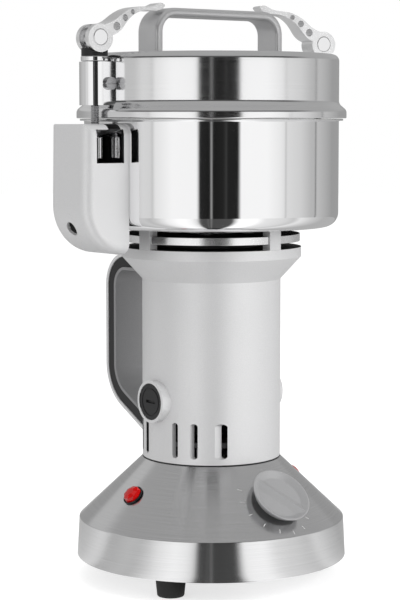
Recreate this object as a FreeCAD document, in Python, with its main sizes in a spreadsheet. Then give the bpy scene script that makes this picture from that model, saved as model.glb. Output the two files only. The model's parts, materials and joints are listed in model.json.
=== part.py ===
"""Bench hammer mill: a high-speed grinder with a steel bowl, a clamped lid and an upright motor.

The origin is on the motor axis, at the plane that the feet stand on.  +Z is up, -Y is the front
(the timer knob's side), -X is the side of the left clamp and its switch box.
"""
import FreeCAD, Part
import math
import os

import Sketcher

SIZES = {
    # clearances
    "seat_gap": 0.05,            # between pieces that are fixed together
    "free_gap": 0.3,             # between pieces that move past each other
    "bearing_gap": 0.04,         # radial play of a pin that turns in its eye
    # feet and base
    "foot_height": 13.2,
    "foot_top_radius": 9.3,
    "foot_tip_radius": 7.9,
    "foot_circle": 62.0,
    "base_radius": 81.5,
    "rim_draw": 1.2,
    "rim_height": 23.2,
    "cone_height": 36.5,
    "base_sheet": 1.0,
    "cone_ledge": 11.7,
    "crease_round": 1.6,
    "base_plate_thickness": 2.5,
    "base_plate_rise": 0.6,
    # motor housing
    "housing_radius": 41.7,
    "housing_wall": 2.6,
    "housing_height": 108.0,
    "flare_radius": 54.0,
    "flare_rise": 13.5,
    "flare_band": 5.8,
    "deck_web": 4.2,
    "deck_hole": 18.0,
    "vent_width": 3.7,
    "vent_height": 21.0,
    "vent_bottom": 4.2,
    "vent_pitch": 10.45,
    "vent_front": 15.2,
    "vent_rear": 10.0,
    # screws
    "screw_radius": 2.0,
    "screw_head": 3.6,
    "screw_head_height": 2.2,
    "screw_boss_radius": 4.2,
    "screw_boss_height": 10.0,
    "post_screw_depth": 3.6,
    "housing_screw_inset": 6.7,
    "deck_screw_circle": 22.2,
    # carbon brush sets
    "brush_rise": 36.6,
    "brush_boss_radius": 12.7,
    "brush_boss_rise": 4.2,
    "brush_cap_radius": 10.9,
    "brush_cap_depth": 4.6,
    "brush_tube_radius": 6.0,
    "brush_width": 6.4,
    "brush_length": 13.0,
    "brush_spring_radius": 2.4,
    "brush_spring_wire": 0.5,
    # motor
    "shaft_radius": 5.0,
    "shaft_low_radius": 4.0,
    "shaft_top_radius": 6.0,
    "shaft_rise": 9.1,
    "low_bearing_radius": 11.0,
    "low_bearing_height": 7.0,
    "low_bearing_rise": 13.6,
    "top_bearing_radius": 14.0,
    "top_bearing_height": 8.0,
    "bracket_thickness": 3.0,
    "commutator_radius": 12.0,
    "commutator_height": 16.0,
    "commutator_rise": 28.6,
    "armature_height": 38.0,
    "armature_rise": 53.1,
    "armature_slot": 2.2,
    "air_gap": 0.4,
    "winding_inset": 3.4,
    "winding_height": 7.0,
    "pole_width": 20.0,
    "yoke_thickness": 6.5,
    "coil_thickness": 5.0,
    "coil_depth": 8.65,
    "pole_shoe": 3.0,
    "fan_room": 3.6,
    "fan_height": 9.0,
    "fan_drop": 9.2,
    "fan_sheet": 1.2,
    # deck between the motor and the bowl
    "post_height": 12.1,
    "post_width": 9.0,
    "post_depth": 6.0,
    "post_turn": 6.0,
    "ring_lift": 3.4,
    "ring_thickness": 4.6,
    "ring_radius": 53.2,
    # bowl and blades
    "bowl_radius": 76.1,
    "bowl_wall": 1.2,
    "bowl_floor": 1.6,
    "bowl_depth": 64.1,
    "bowl_round": 8.0,
    "bowl_rim_width": 2.6,
    "bowl_rim_height": 1.2,
    "bowl_hole": 12.0,
    "seal_flange": 17.0,
    "seal_collar_height": 2.4,
    "seal_drop": 3.0,
    "seal_lip": 1.5,
    "seal_eye_play": 1.0,
    "seal_ring_width": 3.0,
    "seal_ring_height": 5.0,
    "blade_length": 108.0,
    "blade_width": 15.0,
    "blade_sheet": 2.2,
    "blade_pitch": 12.0,
    "blade_rise": 9.0,
    "blade_bend": 20.0,
    "spindle_radius": 5.0,
    "spindle_end": 11.0,
    "nut_dome_radius": 8.5,
    # lid
    "lid_gap": 0.3,
    "lid_wall": 1.2,
    "lid_height": 37.6,
    "lid_round": 4.0,
    "bead_width": 4.5,
    "bead_height": 4.3,
    "bead_slope": 4.2,
    "gasket_height": 3.6,
    "gasket_width": 3.4,
    # lid handle
    "handle_inset": 28.7,
    "handle_width": 19.5,
    "handle_sheet": 5.0,
    "handle_rise": 26.3,
    "handle_round": 14.0,
    # clamps
    "clamp_standoff": 8.1,
    "clamp_block_radius": 8.8,
    "clamp_block_height": 24.6,
    "clamp_block_drop": 5.7,
    "block_screw_y": 3.6,
    "block_screw_rise": 7.5,
    "block_screw_sag": 0.45,
    "cross_screw_inset": 4.2,
    "cross_screw_length": 5.0,
    "rod_radius": 2.5,
    "rod_play": 0.3,
    "clamp_ring_radius": 7.9,
    "clamp_ring_height": 3.0,
    "pad_radius": 7.6,
    "pad_height": 4.4,
    "pivot_rise": 13.9,
    "cam_radius": 8.1,
    "cam_offset": 0.5,
    "saddle_gap": 0.6,
    "cam_thickness": 3.8,
    "cam_spacing": 10.4,
    "eye_radius": 4.6,
    "pin_radius": 3.0,
    "pin_head_radius": 4.65,
    "pin_head_height": 1.4,
    "nut_radius": 4.4,
    "nut_height": 12.5,
    "nut_drop": 18.0,
    "left_yaw": 4.0,
    "right_yaw": 12.0,
    "right_raise": 3.0,
    # switch box and catches
    "box_overhang": 20.0,
    "box_half_width": 18.9,
    "box_top": 61.0,
    "box_height": 74.4,
    "box_wall": 2.2,
    "box_round": 28.0,
    "box_edge": 6.5,
    "window_width": 18.6,
    "window_lead": 7.0,
    "window_height": 19.0,
    "window_top": 3.0,
    "lead_in_slope": 0.172,
    "catch_plate_width": 17.0,
    "catch_overhang": 8.0,
    "catch_half_width": 8.5,
    "catch_height": 22.0,
    # timer, lamps and cable gland
    "knob_drop": 1.1,
    "knob_radius": 18.2,
    "knob_lift": 2.4,
    "knob_height": 4.8,
    "knob_recess": 2.6,
    "knob_rim": 0.9,
    "knob_rib": 3.2,
    "knob_slope": 3.6,
    "knob_undercut": 3.0,
    "timer_width": 40.0,
    "timer_depth": 18.0,
    "spindle_knob_radius": 3.0,
    "lamp_climb": 0.6,
    "lamp_bezel": 6.4,
    "lamp_rim": 0.6,
    "lamp_turn": 3.0,
    "lamp_body_radius": 4.6,
    "lamp_body_length": 16.0,
    "gland_radius": 7.5,
    "gland_hole": 3.3,
    "gland_length": 9.0,
    # motor side handle
    "grip_reach": 95.2,
    "grip_width": 24.0,
    "grip_top": 11.4,
    "grip_round": 21.0,
    "grip_low_round": 30.0,
    "grip_skin": 2.4,
    "grip_core": 6.4,
    "grip_liner": 2.2,
    "grip_corner": 30.4,
    "grip_fall": 28.0,
}

doc = FreeCAD.newDocument("hammer_mill")
sheet = doc.addObject("Spreadsheet::Sheet", "Sizes")
for row, (alias, number) in enumerate(SIZES.items(), start=1):
    sheet.set(f"A{row}", str(number))
    sheet.setAlias(f"A{row}", alias)
doc.recompute()


class Size:
    """A length or angle together with the sheet formula that gives it."""

    def __init__(self, number, formula):
        self.number = number
        self.formula = formula

    def __float__(self):
        return float(self.number)

    def __add__(self, other):
        other = as_size(other)
        return Size(self.number + other.number, f"({self.formula} + {other.formula})")

    def __sub__(self, other):
        other = as_size(other)
        return Size(self.number - other.number, f"({self.formula} - {other.formula})")

    def __mul__(self, other):
        other = as_size(other)
        return Size(self.number * other.number, f"({self.formula} * {other.formula})")

    def __truediv__(self, other):
        other = as_size(other)
        return Size(self.number / other.number, f"({self.formula} / {other.formula})")

    def __neg__(self):
        return Size(-self.number, f"(-1 * {self.formula})")

    __radd__ = __add__
    __rmul__ = __mul__

    def __rsub__(self, other):
        return as_size(other) - self


def as_size(value):
    if isinstance(value, Size):
        return value
    return Size(float(value), repr(float(value)))


class Named:
    """Each sheet cell as an attribute, so that a formula reads like the sheet."""


d = Named()
for alias in SIZES:
    setattr(d, alias, Size(float(sheet.get(alias)), "Sizes." + alias))

# ---------------------------------------------------------------- levels and shared places
Z0 = as_size(0.0)
rim_bottom = d.foot_height
crease_z = rim_bottom + d.rim_height
cone_top = crease_z + d.cone_height
housing_top = cone_top + d.housing_height
flare_corner = housing_top + d.flare_rise
deck_z = flare_corner + d.flare_band
ring_z = deck_z + d.ring_lift
bowl_z = deck_z + d.post_height
floor_z = bowl_z + d.bowl_floor
rim_z = bowl_z + d.bowl_depth
lid_z = rim_z + d.lid_gap
lid_top = lid_z + d.lid_height
handle_top = lid_top + d.handle_rise
handle_half = d.bowl_radius - d.handle_inset
block_top = lid_top - d.clamp_block_drop
block_z = block_top - d.clamp_block_height
block_mid = block_z + d.clamp_block_height / 2
ring_seat = block_top + d.free_gap
pad_z = ring_seat + d.clamp_ring_height
pivot_z = block_top + d.pivot_rise
nut_top = block_z - d.nut_drop
nut_bottom = nut_top - d.nut_height
box_top = bowl_z + d.box_top
box_bottom = box_top - d.box_height
window_top = box_top - d.window_top
window_bottom = window_top - d.window_height
brush_z = cone_top + d.brush_rise
gland_z = rim_bottom + d.rim_height * 0.5
post_circle = d.flare_radius - d.post_depth / 2
vent_z = cone_top + d.vent_bottom
top_bearing_z = deck_z - d.top_bearing_height
fan_z = top_bearing_z - d.fan_drop - d.fan_height
shaft_bottom = cone_top + d.shaft_rise
low_bearing_z = cone_top + d.low_bearing_rise
commutator_z = cone_top + d.commutator_rise
armature_z = cone_top + d.armature_rise
bowl_inner = d.bowl_radius - d.bowl_wall
lid_inner = d.bowl_radius - d.lid_wall
bowl_rim_radius = d.bowl_radius + d.bowl_rim_width
bead_radius = d.bowl_radius + d.bead_width
clamp_reach = d.bowl_radius + d.clamp_standoff
box_reach = clamp_reach + d.box_overhang
window_inner = clamp_reach - d.window_lead
catch_reach = clamp_reach + d.catch_overhang
housing_inner = d.housing_radius - d.housing_wall
housing_screw_circle = d.housing_radius - d.housing_screw_inset
brush_boss_reach = d.housing_radius + d.brush_boss_rise
fan_radius = housing_inner - d.fan_room
stator_radius = housing_inner - d.seat_gap
coil_start = stator_radius - d.yoke_thickness - d.free_gap - d.coil_depth
armature_radius = coil_start - d.free_gap - d.pole_shoe - d.air_gap
winding_radius = armature_radius - d.winding_inset
crease_radius = d.base_radius - d.rim_draw
cone_opening = d.housing_radius - d.cone_ledge
cone_run = crease_radius - d.housing_radius
cone_middle = (crease_radius + d.housing_radius) / 2
knob_circle = cone_middle + d.knob_drop
lamp_circle = cone_middle - d.lamp_climb
cone_tilt = math.degrees(math.atan2(float(d.cone_height), float(cone_run)))
blade_z = floor_z + d.blade_rise
screw_hole = d.screw_radius + d.seat_gap
rod_hole = d.rod_radius + d.rod_play
eye_bore = d.pin_radius + d.bearing_gap
ramp_low = nut_top + d.free_gap
slot_outer = clamp_reach + d.rod_radius + 0.5
slot_inner = clamp_reach - d.rod_radius - 3.0


def cone_height_at(radius):
    """Height of the base cone's outer face at a radius."""
    return crease_z + (crease_radius - radius) * d.cone_height / cone_run


def turn(x, y, z, angle):
    return FreeCAD.Rotation(FreeCAD.Vector(x, y, z), angle)


UP = turn(0, 0, 1, 0)
ALONG_X = turn(0, 1, 0, 90)
ALONG_Y = turn(1, 0, 0, -90)
HALF_TURN = turn(0, 0, 1, 180)


# ---------------------------------------------------------------- modelling helpers
def bind(thing, prop, value):
    thing.setExpression(prop, as_size(value).formula)


def put(thing, x=0, y=0, z=0, rotation=UP):
    """Gives an object its Placement, with the base tied to the sheet."""
    thing.Placement = FreeCAD.Placement(FreeCAD.Vector(float(x), float(y), float(z)), rotation)
    for axis, value in zip("xyz", (x, y, z)):
        if isinstance(value, Size):
            bind(thing, "Placement.Base." + axis, value)
    return thing


def cylinder(name, radius, height, x=0, y=0, z=0, rotation=UP):
    thing = doc.addObject("Part::Cylinder", name)
    bind(thing, "Radius", radius)
    bind(thing, "Height", height)
    return put(thing, x, y, z, rotation)


def cone(name, radius_low, radius_high, height, x=0, y=0, z=0, rotation=UP):
    thing = doc.addObject("Part::Cone", name)
    bind(thing, "Radius1", radius_low)
    bind(thing, "Radius2", radius_high)
    bind(thing, "Height", height)
    return put(thing, x, y, z, rotation)


def sphere(name, radius, x=0, y=0, z=0):
    thing = doc.addObject("Part::Sphere", name)
    bind(thing, "Radius", radius)
    return put(thing, x, y, z)


def box(name, length, width, height, x=0, y=0, z=0, rotation=UP):
    thing = doc.addObject("Part::Box", name)
    bind(thing, "Length", length)
    bind(thing, "Width", width)
    bind(thing, "Height", height)
    return put(thing, x, y, z, rotation)


def centred_box(name, length, width, height, x=0, y=0, z=0):
    """A box centred on x and y, standing on z."""
    return box(name, length, width, height, x - as_size(length) / 2, y - as_size(width) / 2, z)


def fuse(name, *shapes):
    thing = doc.addObject("Part::MultiFuse", name)
    thing.Shapes = list(shapes)
    return thing


def cut(name, base, *tools):
    thing = doc.addObject("Part::Cut", name)
    thing.Base = base
    thing.Tool = tools[0] if len(tools) == 1 else fuse(name + "_tools", *tools)
    return thing


def common(name, base, tool):
    thing = doc.addObject("Part::Common", name)
    thing.Base = base
    thing.Tool = tool
    return thing


def group(name, *shapes):
    """Several separate solids in one node."""
    thing = doc.addObject("Part::Compound", name)
    thing.Links = list(shapes)
    return thing


def moved(name, source, x=0, y=0, z=0, rotation=UP):
    """A second instance of an object, at another place."""
    thing = doc.addObject("Part::Compound", name)
    thing.Links = [source]
    return put(thing, x, y, z, rotation)


def tube(name, outer, inner, height, x=0, y=0, z=0, rotation=UP):
    wall = cylinder(name + "_outer", outer, height, x, y, z, rotation)
    bore = cylinder(name + "_bore", inner, height, x, y, z, rotation)
    return cut(name, wall, bore)


def closed_sketch(body, plane_role, points):
    """A closed outline on one of the body's planes, each corner held by two sheet sizes."""
    sketch = body.newObject("Sketcher::SketchObject", body.Name + "_sketch")
    plane = [part for part in body.Origin.OriginFeatures if part.Role == plane_role][0]
    sketch.AttachmentSupport = [(plane, "")]
    sketch.MapMode = "FlatFace"
    corners = [FreeCAD.Vector(float(u), float(v), 0) for u, v in points]
    for index, corner in enumerate(corners):
        following = corners[(index + 1) % len(corners)]
        sketch.addGeometry(Part.LineSegment(corner, following), False)
    for index in range(len(corners)):
        sketch.addConstraint(Sketcher.Constraint("Coincident", index, 2, (index + 1) % len(corners), 1))
    for index, (u, v) in enumerate(points):
        for kind, value in (("DistanceX", u), ("DistanceY", v)):
            number = sketch.addConstraint(Sketcher.Constraint(kind, -1, 1, index, 1, float(value)))
            sketch.setExpression(f"Constraints[{number}]", as_size(value).formula)
    return sketch


def revolved(name, points):
    """A body of revolution about Z from its (radius, height) outline."""
    body = doc.addObject("PartDesign::Body", name)
    sketch = closed_sketch(body, "XZ_Plane", points)
    feature = body.newObject("PartDesign::Revolution", name + "_revolution")
    feature.Profile = sketch
    feature.ReferenceAxis = (sketch, ["V_Axis"])
    feature.Angle = 360
    body.Tip = feature
    return body


def extruded(name, plane_role, points, depth):
    """A prism, symmetric about one of the body's planes."""
    body = doc.addObject("PartDesign::Body", name)
    sketch = closed_sketch(body, plane_role, points)
    feature = body.newObject("PartDesign::Pad", name + "_pad")
    feature.Profile = sketch
    feature.Midplane = True
    bind(feature, "Length", depth)
    body.Tip = feature
    return body


def fillet(body, radius, chosen):
    """Rounds the edges of a body's last shape that the test picks out."""
    doc.recompute()
    base = body.Tip
    names = [f"Edge{index}" for index, edge in enumerate(base.Shape.Edges, start=1) if chosen(edge)]
    if not names:
        raise RuntimeError(f"{body.Name} has no edge to round")
    feature = body.newObject("PartDesign::Fillet", f"{body.Name}_fillet{len(body.Group)}")
    feature.Base = (base, names)
    bind(feature, "Radius", radius)
    body.Tip = feature
    return body


def ring_edge(radius, height):
    """Picks the circular edge about Z with this radius and height."""
    def chosen(edge):
        if not isinstance(edge.Curve, Part.Circle):
            return False
        same_radius = abs(edge.Curve.Radius - float(radius)) < 0.01
        return same_radius and abs(edge.Curve.Center.z - float(height)) < 0.01
    return chosen


def line_edge(**places):
    """Picks the straight edges whose middle lies at the places given for x, y or z."""
    def chosen(edge):
        if not isinstance(edge.Curve, Part.Line):
            return False
        middle = edge.CenterOfMass
        return all(abs(getattr(middle, axis) - float(value)) < 0.01 for axis, value in places.items())
    return chosen


def around(count, start=0.0):
    """Evenly spaced angles in degrees, measured from -Y towards -X."""
    return [start + 360.0 * index / count for index in range(count)]


def at_angle(radius, angle):
    """The x and y of a point at a radius, with its angle measured from -Y towards -X."""
    return radius * -math.sin(math.radians(angle)), radius * -math.cos(math.radians(angle))


def screw(name, length, x, y, z, rotation=UP):
    """A pan-head screw: z is the underside of the head, and the shank runs along local -Z."""
    shank = cylinder(name + "_shank", d.screw_radius, length, 0, 0, -as_size(length))
    head = cylinder(name + "_head", d.screw_head, d.screw_head_height)
    socket = box(name + "_slot", d.screw_head * 3, 0.9, 1.0, d.screw_head * -1.5, -0.45,
                 d.screw_head_height - 0.9)
    return moved(name, cut(name + "_solid", fuse(name + "_blank", shank, head), socket), x, y, z, rotation)


nodes = []


def node(name, thing):
    """Names a finished sub-part, which is written out under its label."""
    thing.Label = name
    nodes.append(thing)
    return thing


# ---------------------------------------------------------------- base
def base_shell():
    body = revolved("base_shell_blank", [
        (d.base_radius, rim_bottom),
        (crease_radius, crease_z),
        (d.housing_radius, cone_top),
        (cone_opening, cone_top),
        (cone_opening, cone_top - d.base_sheet),
        (d.housing_radius - d.base_sheet * 0.4, cone_top - d.base_sheet),
        (crease_radius - d.base_sheet, crease_z - d.base_sheet * 0.4),
        (d.base_radius - d.base_sheet, rim_bottom),
    ])
    fillet(body, d.crease_round, ring_edge(crease_radius, crease_z))
    fillet(body, d.crease_round - d.base_sheet, ring_edge(crease_radius - d.base_sheet,
                                                          crease_z - d.base_sheet * 0.4))
    tools = [moved("knob_bore", cylinder("knob_bore_tool", d.spindle_knob_radius + 1.5, 12, 0, 0, -6),
                   0, -knob_circle, cone_height_at(knob_circle), turn(1, 0, 0, cone_tilt))]
    for side, sign in (("left", -1), ("right", 1)):
        bore = cylinder(f"lamp_bore_tool_{side}", d.lamp_body_radius + d.seat_gap, 12, 0, 0, -6)
        tools.append(moved(f"lamp_bore_{side}", bore, *lamp_place(sign)))
    tools.append(cylinder("gland_bore", d.gland_radius - 1.5 + d.seat_gap, 20, 0, d.base_radius - 10,
                          gland_z, ALONG_Y))
    for index, angle in enumerate(around(4, 45.0)):
        x, y = at_angle(housing_screw_circle, angle)
        tools.append(cylinder(f"shell_screw_bore{index}", screw_hole, 6, x, y, cone_top - 3))
    node("base_shell", cut("base_shell_cut", body, *tools))


def base_plate():
    plate_z = rim_bottom + d.base_plate_rise
    disc = cylinder("base_plate_disc", d.base_radius - d.base_sheet - d.free_gap,
                    d.base_plate_thickness, 0, 0, plate_z)
    tools = []
    for index, angle in enumerate(around(3, 60.0)):
        x, y = at_angle(d.foot_circle, angle)
        tools.append(cylinder(f"plate_bore{index}", screw_hole, 8, x, y, plate_z - 2))
    for index, angle in enumerate(around(12)):
        x, y = at_angle(d.foot_circle * 0.5, angle)
        tools.append(cylinder(f"plate_vent{index}", 3.0, 8, x, y, plate_z - 2))
    node("base_plate", cut("base_plate_cut", disc, *tools))
    feet = []
    screws = []
    nuts = []
    for index, angle in enumerate(around(3, 60.0)):
        x, y = at_angle(d.foot_circle, angle)
        foot_top = plate_z - d.seat_gap
        blank = cone(f"foot_blank{index}", d.foot_tip_radius, d.foot_top_radius, foot_top, x, y, 0)
        recess = cylinder(f"foot_recess{index}", d.screw_head + 0.5, d.foot_height * 0.45, x, y, 0)
        bore = cylinder(f"foot_bore{index}", screw_hole, d.foot_height + 5, x, y, 0)
        feet.append(cut(f"foot{index}", blank, recess, bore))
        screws.append(screw(f"foot_screw{index}", d.foot_height * 0.55 + d.base_plate_thickness + 5,
                            x, y, d.foot_height * 0.45 - d.seat_gap, turn(1, 0, 0, 180)))
        hexagon = doc.addObject("Part::Prism", f"foot_nut_blank{index}")
        hexagon.Polygon = 6
        bind(hexagon, "Circumradius", d.screw_head)
        bind(hexagon, "Height", 3.2)
        put(hexagon, x, y, plate_z + d.base_plate_thickness + d.seat_gap)
        nuts.append(cut(f"foot_nut{index}", hexagon,
                        cylinder(f"foot_nut_bore{index}", screw_hole, 5, x, y,
                                 plate_z + d.base_plate_thickness)))
    node("rubber_feet", group("feet_group", *feet))
    node("foot_screws", group("foot_screw_group", *screws, *nuts))


def timer():
    """Clockwork timer under the cone, its spindle square to the cone's face."""
    tilt = turn(1, 0, 0, cone_tilt)
    x, y, z = 0, -knob_circle, cone_height_at(knob_circle)
    case_top = d.base_sheet + d.seat_gap + 3.4
    case = centred_box("timer_case_body", d.timer_width, d.timer_width * 0.75, d.timer_depth, 0, 0,
                       -case_top - d.timer_depth)
    neck = cylinder("timer_neck", 6.0, case_top - d.base_sheet - 0.4, 0, 0, -case_top)
    bore = cylinder("timer_bore", d.spindle_knob_radius + d.bearing_gap, d.timer_depth + 10, 0, 0,
                    -case_top - d.timer_depth * 0.6)
    node("timer_case", moved("timer_case_at", cut("timer_case_cut", fuse("timer_blank", case, neck), bore),
                             x, y, z, tilt))
    spindle_foot = case_top + d.timer_depth * 0.6 - d.free_gap
    spindle_top = d.knob_lift + d.knob_height - d.knob_recess - 1.0
    spindle = cylinder("spindle_rod", d.spindle_knob_radius, spindle_foot + spindle_top, 0, 0, -spindle_foot)
    node("timer_spindle", moved("timer_spindle_at", spindle, x, y, z, tilt))
    disc = cone("knob_disc", d.knob_radius - d.knob_undercut, d.knob_radius, d.knob_height, 0, 0, d.knob_lift)
    hollow_radius = d.knob_radius - d.knob_rim
    recess = cone("knob_recess", hollow_radius - d.knob_slope, hollow_radius, d.knob_recess, 0, 0,
                  d.knob_lift + d.knob_height - d.knob_recess)
    socket = cylinder("knob_socket", d.spindle_knob_radius + d.seat_gap, spindle_top - d.knob_lift + 1 + 0.1,
                      0, 0, d.knob_lift - 1)
    rib = box("knob_rib", (hollow_radius - 0.3) * 2, d.knob_rib, d.knob_recess - 0.3,
              -hollow_radius + 0.3, d.knob_rib * -0.5, d.knob_lift + d.knob_height - d.knob_recess - 0.2)
    turned_rib = moved("knob_rib_at", rib, 0, 0, 0, turn(0, 0, 1, -52))
    node("timer_knob", moved("timer_knob_at", fuse("knob_solid", cut("knob_dished", disc, recess, socket),
                                                   turned_rib), x, y, z, tilt))


def lamp_place(sign):
    """Where a lamp stands on the cone, a little in front of the side, and its turn."""
    aside = math.radians(float(d.lamp_turn))
    tilt = turn(0, 0, 1, -sign * float(d.lamp_turn)).multiply(turn(0, 1, 0, sign * cone_tilt))
    return (lamp_circle * (math.cos(aside) * sign), lamp_circle * -math.sin(aside),
            cone_height_at(lamp_circle), tilt)


def lamps():
    bodies = []
    lenses = []
    for side, sign in (("left", -1), ("right", 1)):
        x, y, z, tilt = lamp_place(sign)
        rim = cylinder(f"bezel_rim_{side}", d.lamp_bezel, 1.0, 0, 0, 0.1)
        seat = cylinder(f"bezel_seat_{side}", d.lamp_bezel - d.lamp_rim, 2.0, 0, 0, 0.6)
        barrel = cylinder(f"bezel_barrel_{side}", d.lamp_body_radius, d.lamp_body_length, 0, 0,
                          -d.lamp_body_length + 0.1)
        bodies.append(moved(f"lamp_body_at_{side}",
                            cut(f"lamp_body_cut_{side}", fuse(f"lamp_blank_{side}", rim, barrel), seat),
                            x, y, z, tilt))
        lens_radius = d.lamp_bezel - d.lamp_rim - d.seat_gap
        drum = cylinder(f"lens_drum_{side}", lens_radius, 1.0, 0, 0, 0.65)
        facet = cone(f"lens_facet_{side}", lens_radius, lens_radius * 0.45, 2.2, 0, 0, 1.65)
        lenses.append(moved(f"lamp_lens_at_{side}", fuse(f"lens_solid_{side}", drum, facet), x, y, z, tilt))
    node("lamp_bodies", group("lamp_body_group", *bodies))
    node("lamp_lenses", group("lamp_lens_group", *lenses))


def cord_gland():
    y = d.base_radius - d.gland_length * 0.5
    flange = cylinder("gland_flange", d.gland_radius, d.gland_length * 0.5 - 0.6, 0, d.base_radius,
                      gland_z, ALONG_Y)
    neck = cylinder("gland_neck", d.gland_radius - 1.5, d.gland_length, 0, y - 0.6, gland_z, ALONG_Y)
    lock = cylinder("gland_lock", d.gland_radius, d.gland_length * 0.5 - 2.6, 0, y - 0.6, gland_z, ALONG_Y)
    bore = cylinder("gland_bore_through", d.gland_hole, 30, 0, d.base_radius - 20, gland_z, ALONG_Y)
    node("cord_gland", cut("gland_cut", fuse("gland_solid", flange, neck, lock), bore))


# ---------------------------------------------------------------- motor housing
def flare_inset(wall):
    """How much lower the flare's inner corner lies for a wall of this thickness."""
    return wall * 0.45


def housing():
    wall = d.housing_wall
    inner = housing_inner
    body = revolved("housing_blank", [
        (d.housing_radius, cone_top),
        (d.housing_radius, housing_top),
        (d.flare_radius, flare_corner),
        (d.flare_radius, deck_z),
        (d.deck_hole, deck_z),
        (d.deck_hole, deck_z - d.deck_web),
        (d.flare_radius - wall, deck_z - d.deck_web),
        (d.flare_radius - wall, flare_corner + flare_inset(wall) * 0.2),
        (inner, housing_top + flare_inset(wall)),
        (inner, cone_top),
    ])
    pieces = [body]
    for side, sign in (("left", -1), ("right", 1)):
        boss = cylinder(f"brush_boss_{side}", d.brush_boss_radius, brush_boss_reach - inner + 1.5, 0, 0, 0)
        pieces.append(moved(f"brush_boss_at_{side}", boss, (inner - 1.5) * sign, 0, brush_z,
                            turn(0, 1, 0, sign * 90)))
    for index, angle in enumerate(around(4, 45.0)):
        x, y = at_angle(housing_screw_circle, angle)
        pieces.append(cylinder(f"screw_boss{index}", d.screw_boss_radius, d.screw_boss_height, x, y,
                               cone_top))
    tools = []
    for side, sign in (("left", -1), ("right", 1)):
        cap_seat = cylinder(f"cap_seat_{side}", d.brush_cap_radius + d.seat_gap, 20, 0, 0,
                            brush_boss_reach - d.brush_cap_depth)
        tube_seat = cylinder(f"tube_seat_{side}", d.brush_tube_radius + d.seat_gap, 30, 0, 0, inner - 10)
        tools.append(moved(f"brush_seats_{side}", fuse(f"brush_seat_tools_{side}", cap_seat, tube_seat),
                           0, 0, brush_z, turn(0, 1, 0, sign * 90)))
        vents = [-d.vent_front - d.vent_pitch * k for k in (2, 1, 0)]
        vents += [d.vent_rear + d.vent_pitch * k for k in (0, 1)]
        for place, offset in enumerate(vents):
            y = offset * -sign
            radius = d.vent_width / 2
            reach = d.housing_radius + 5
            inside = 8.0 * sign
            start = inside if sign > 0 else -float(reach) - 8.0
            slot = [
                box(f"vent_{side}{place}_mid", reach, d.vent_width, d.vent_height - d.vent_width,
                    start, y - radius, vent_z + radius),
                cylinder(f"vent_{side}{place}_low", radius, reach, start, y, vent_z + radius, ALONG_X),
                cylinder(f"vent_{side}{place}_high", radius, reach, start, y,
                         vent_z + d.vent_height - radius, ALONG_X),
            ]
            tools.append(fuse(f"vent_{side}{place}", *slot))
    for index, angle in enumerate(around(4, 45.0)):
        x, y = at_angle(housing_screw_circle, angle)
        tools.append(cylinder(f"housing_screw_bore{index}", screw_hole, 9.0, x, y, cone_top - 1))
        x, y = at_angle(d.deck_screw_circle, angle)
        tools.append(cylinder(f"web_screw_bore{index}", screw_hole, 20, x, y, deck_z - 12))
    for index, angle in enumerate(around(4, -float(d.post_turn))):
        x, y = at_angle(post_circle, angle)
        tools.append(cylinder(f"post_screw_bore{index}", screw_hole, 8, x, y, deck_z - d.post_screw_depth))
    node("motor_housing", cut("motor_housing_cut", fuse("housing_solid", *pieces), *tools))


def brush_sets():
    caps = []
    holders = []
    carbons = []
    springs = []
    tube_start = d.commutator_radius + 4.0
    carbon_start = d.commutator_radius + d.free_gap
    for side, sign in (("left", -1), ("right", 1)):
        turned = turn(0, 1, 0, sign * 90)
        cap_foot = brush_boss_reach - d.brush_cap_depth + d.seat_gap
        cap = cylinder(f"cap_disc_{side}", d.brush_cap_radius, d.brush_cap_depth - 0.4, 0, 0, cap_foot)
        groove = tube(f"cap_groove_{side}", d.brush_cap_radius * 0.78, d.brush_cap_radius * 0.7, 2, 0, 0,
                      brush_boss_reach - 0.8)
        slot = centred_box(f"cap_slot_{side}", 1.6, d.brush_cap_radius * 0.8, 3, 0, 0,
                           brush_boss_reach - 1.6)
        caps.append(moved(f"cap_at_{side}", cut(f"cap_{side}", cap, groove, slot), 0, 0, brush_z, turned))
        holder_length = cap_foot - d.seat_gap - tube_start
        holder = cylinder(f"holder_rod_{side}", d.brush_tube_radius, holder_length, 0, 0, tube_start)
        channel = centred_box(f"holder_channel_{side}", d.brush_width + 0.2, d.brush_width + 0.2,
                              holder_length + 2, 0, 0, tube_start - 1)
        holders.append(moved(f"holder_at_{side}", cut(f"holder_{side}", holder, channel),
                             0, 0, brush_z, turned))
        block = centred_box(f"carbon_block_{side}", d.brush_width, d.brush_width, d.brush_length, 0, 0,
                            carbon_start)
        curve = moved(f"carbon_curve_{side}",
                      cylinder(f"carbon_curve_tool_{side}", d.commutator_radius + d.free_gap, 40, 0, 0, -20,
                               UP), 0, 0, 0, turn(1, 0, 0, 90))
        carbons.append(moved(f"carbon_at_{side}", cut(f"carbon_{side}", block, curve), 0, 0, brush_z, turned))
        spring_length = float(cap_foot) - float(carbon_start) - float(d.brush_length) - 0.2
        coil = Part.makeHelix(spring_length / 6.5, spring_length - 1.2, float(d.brush_spring_radius))
        wire = Part.Wire(coil.Edges)
        start = wire.Vertexes[0].Point
        section = Part.Wire(Part.makeCircle(float(d.brush_spring_wire) / 2 + 0.1, start,
                                            FreeCAD.Vector(0, 1, 0.25)))
        spring = doc.addObject("Part::Feature", f"spring_{side}")
        spring.Shape = wire.makePipeShell([section], True, True)
        spring_foot = carbon_start + d.brush_length + 0.6
        lifted = moved(f"spring_lift_{side}", spring, 0, 0, spring_foot)
        springs.append(moved(f"spring_at_{side}", lifted, 0, 0, brush_z, turned))
    node("brush_caps", group("cap_group", *caps))
    node("brush_holders", group("holder_group", *holders))
    node("carbon_brushes", group("carbon_group", *carbons))
    node("brush_springs", group("spring_group", *springs))


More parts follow.
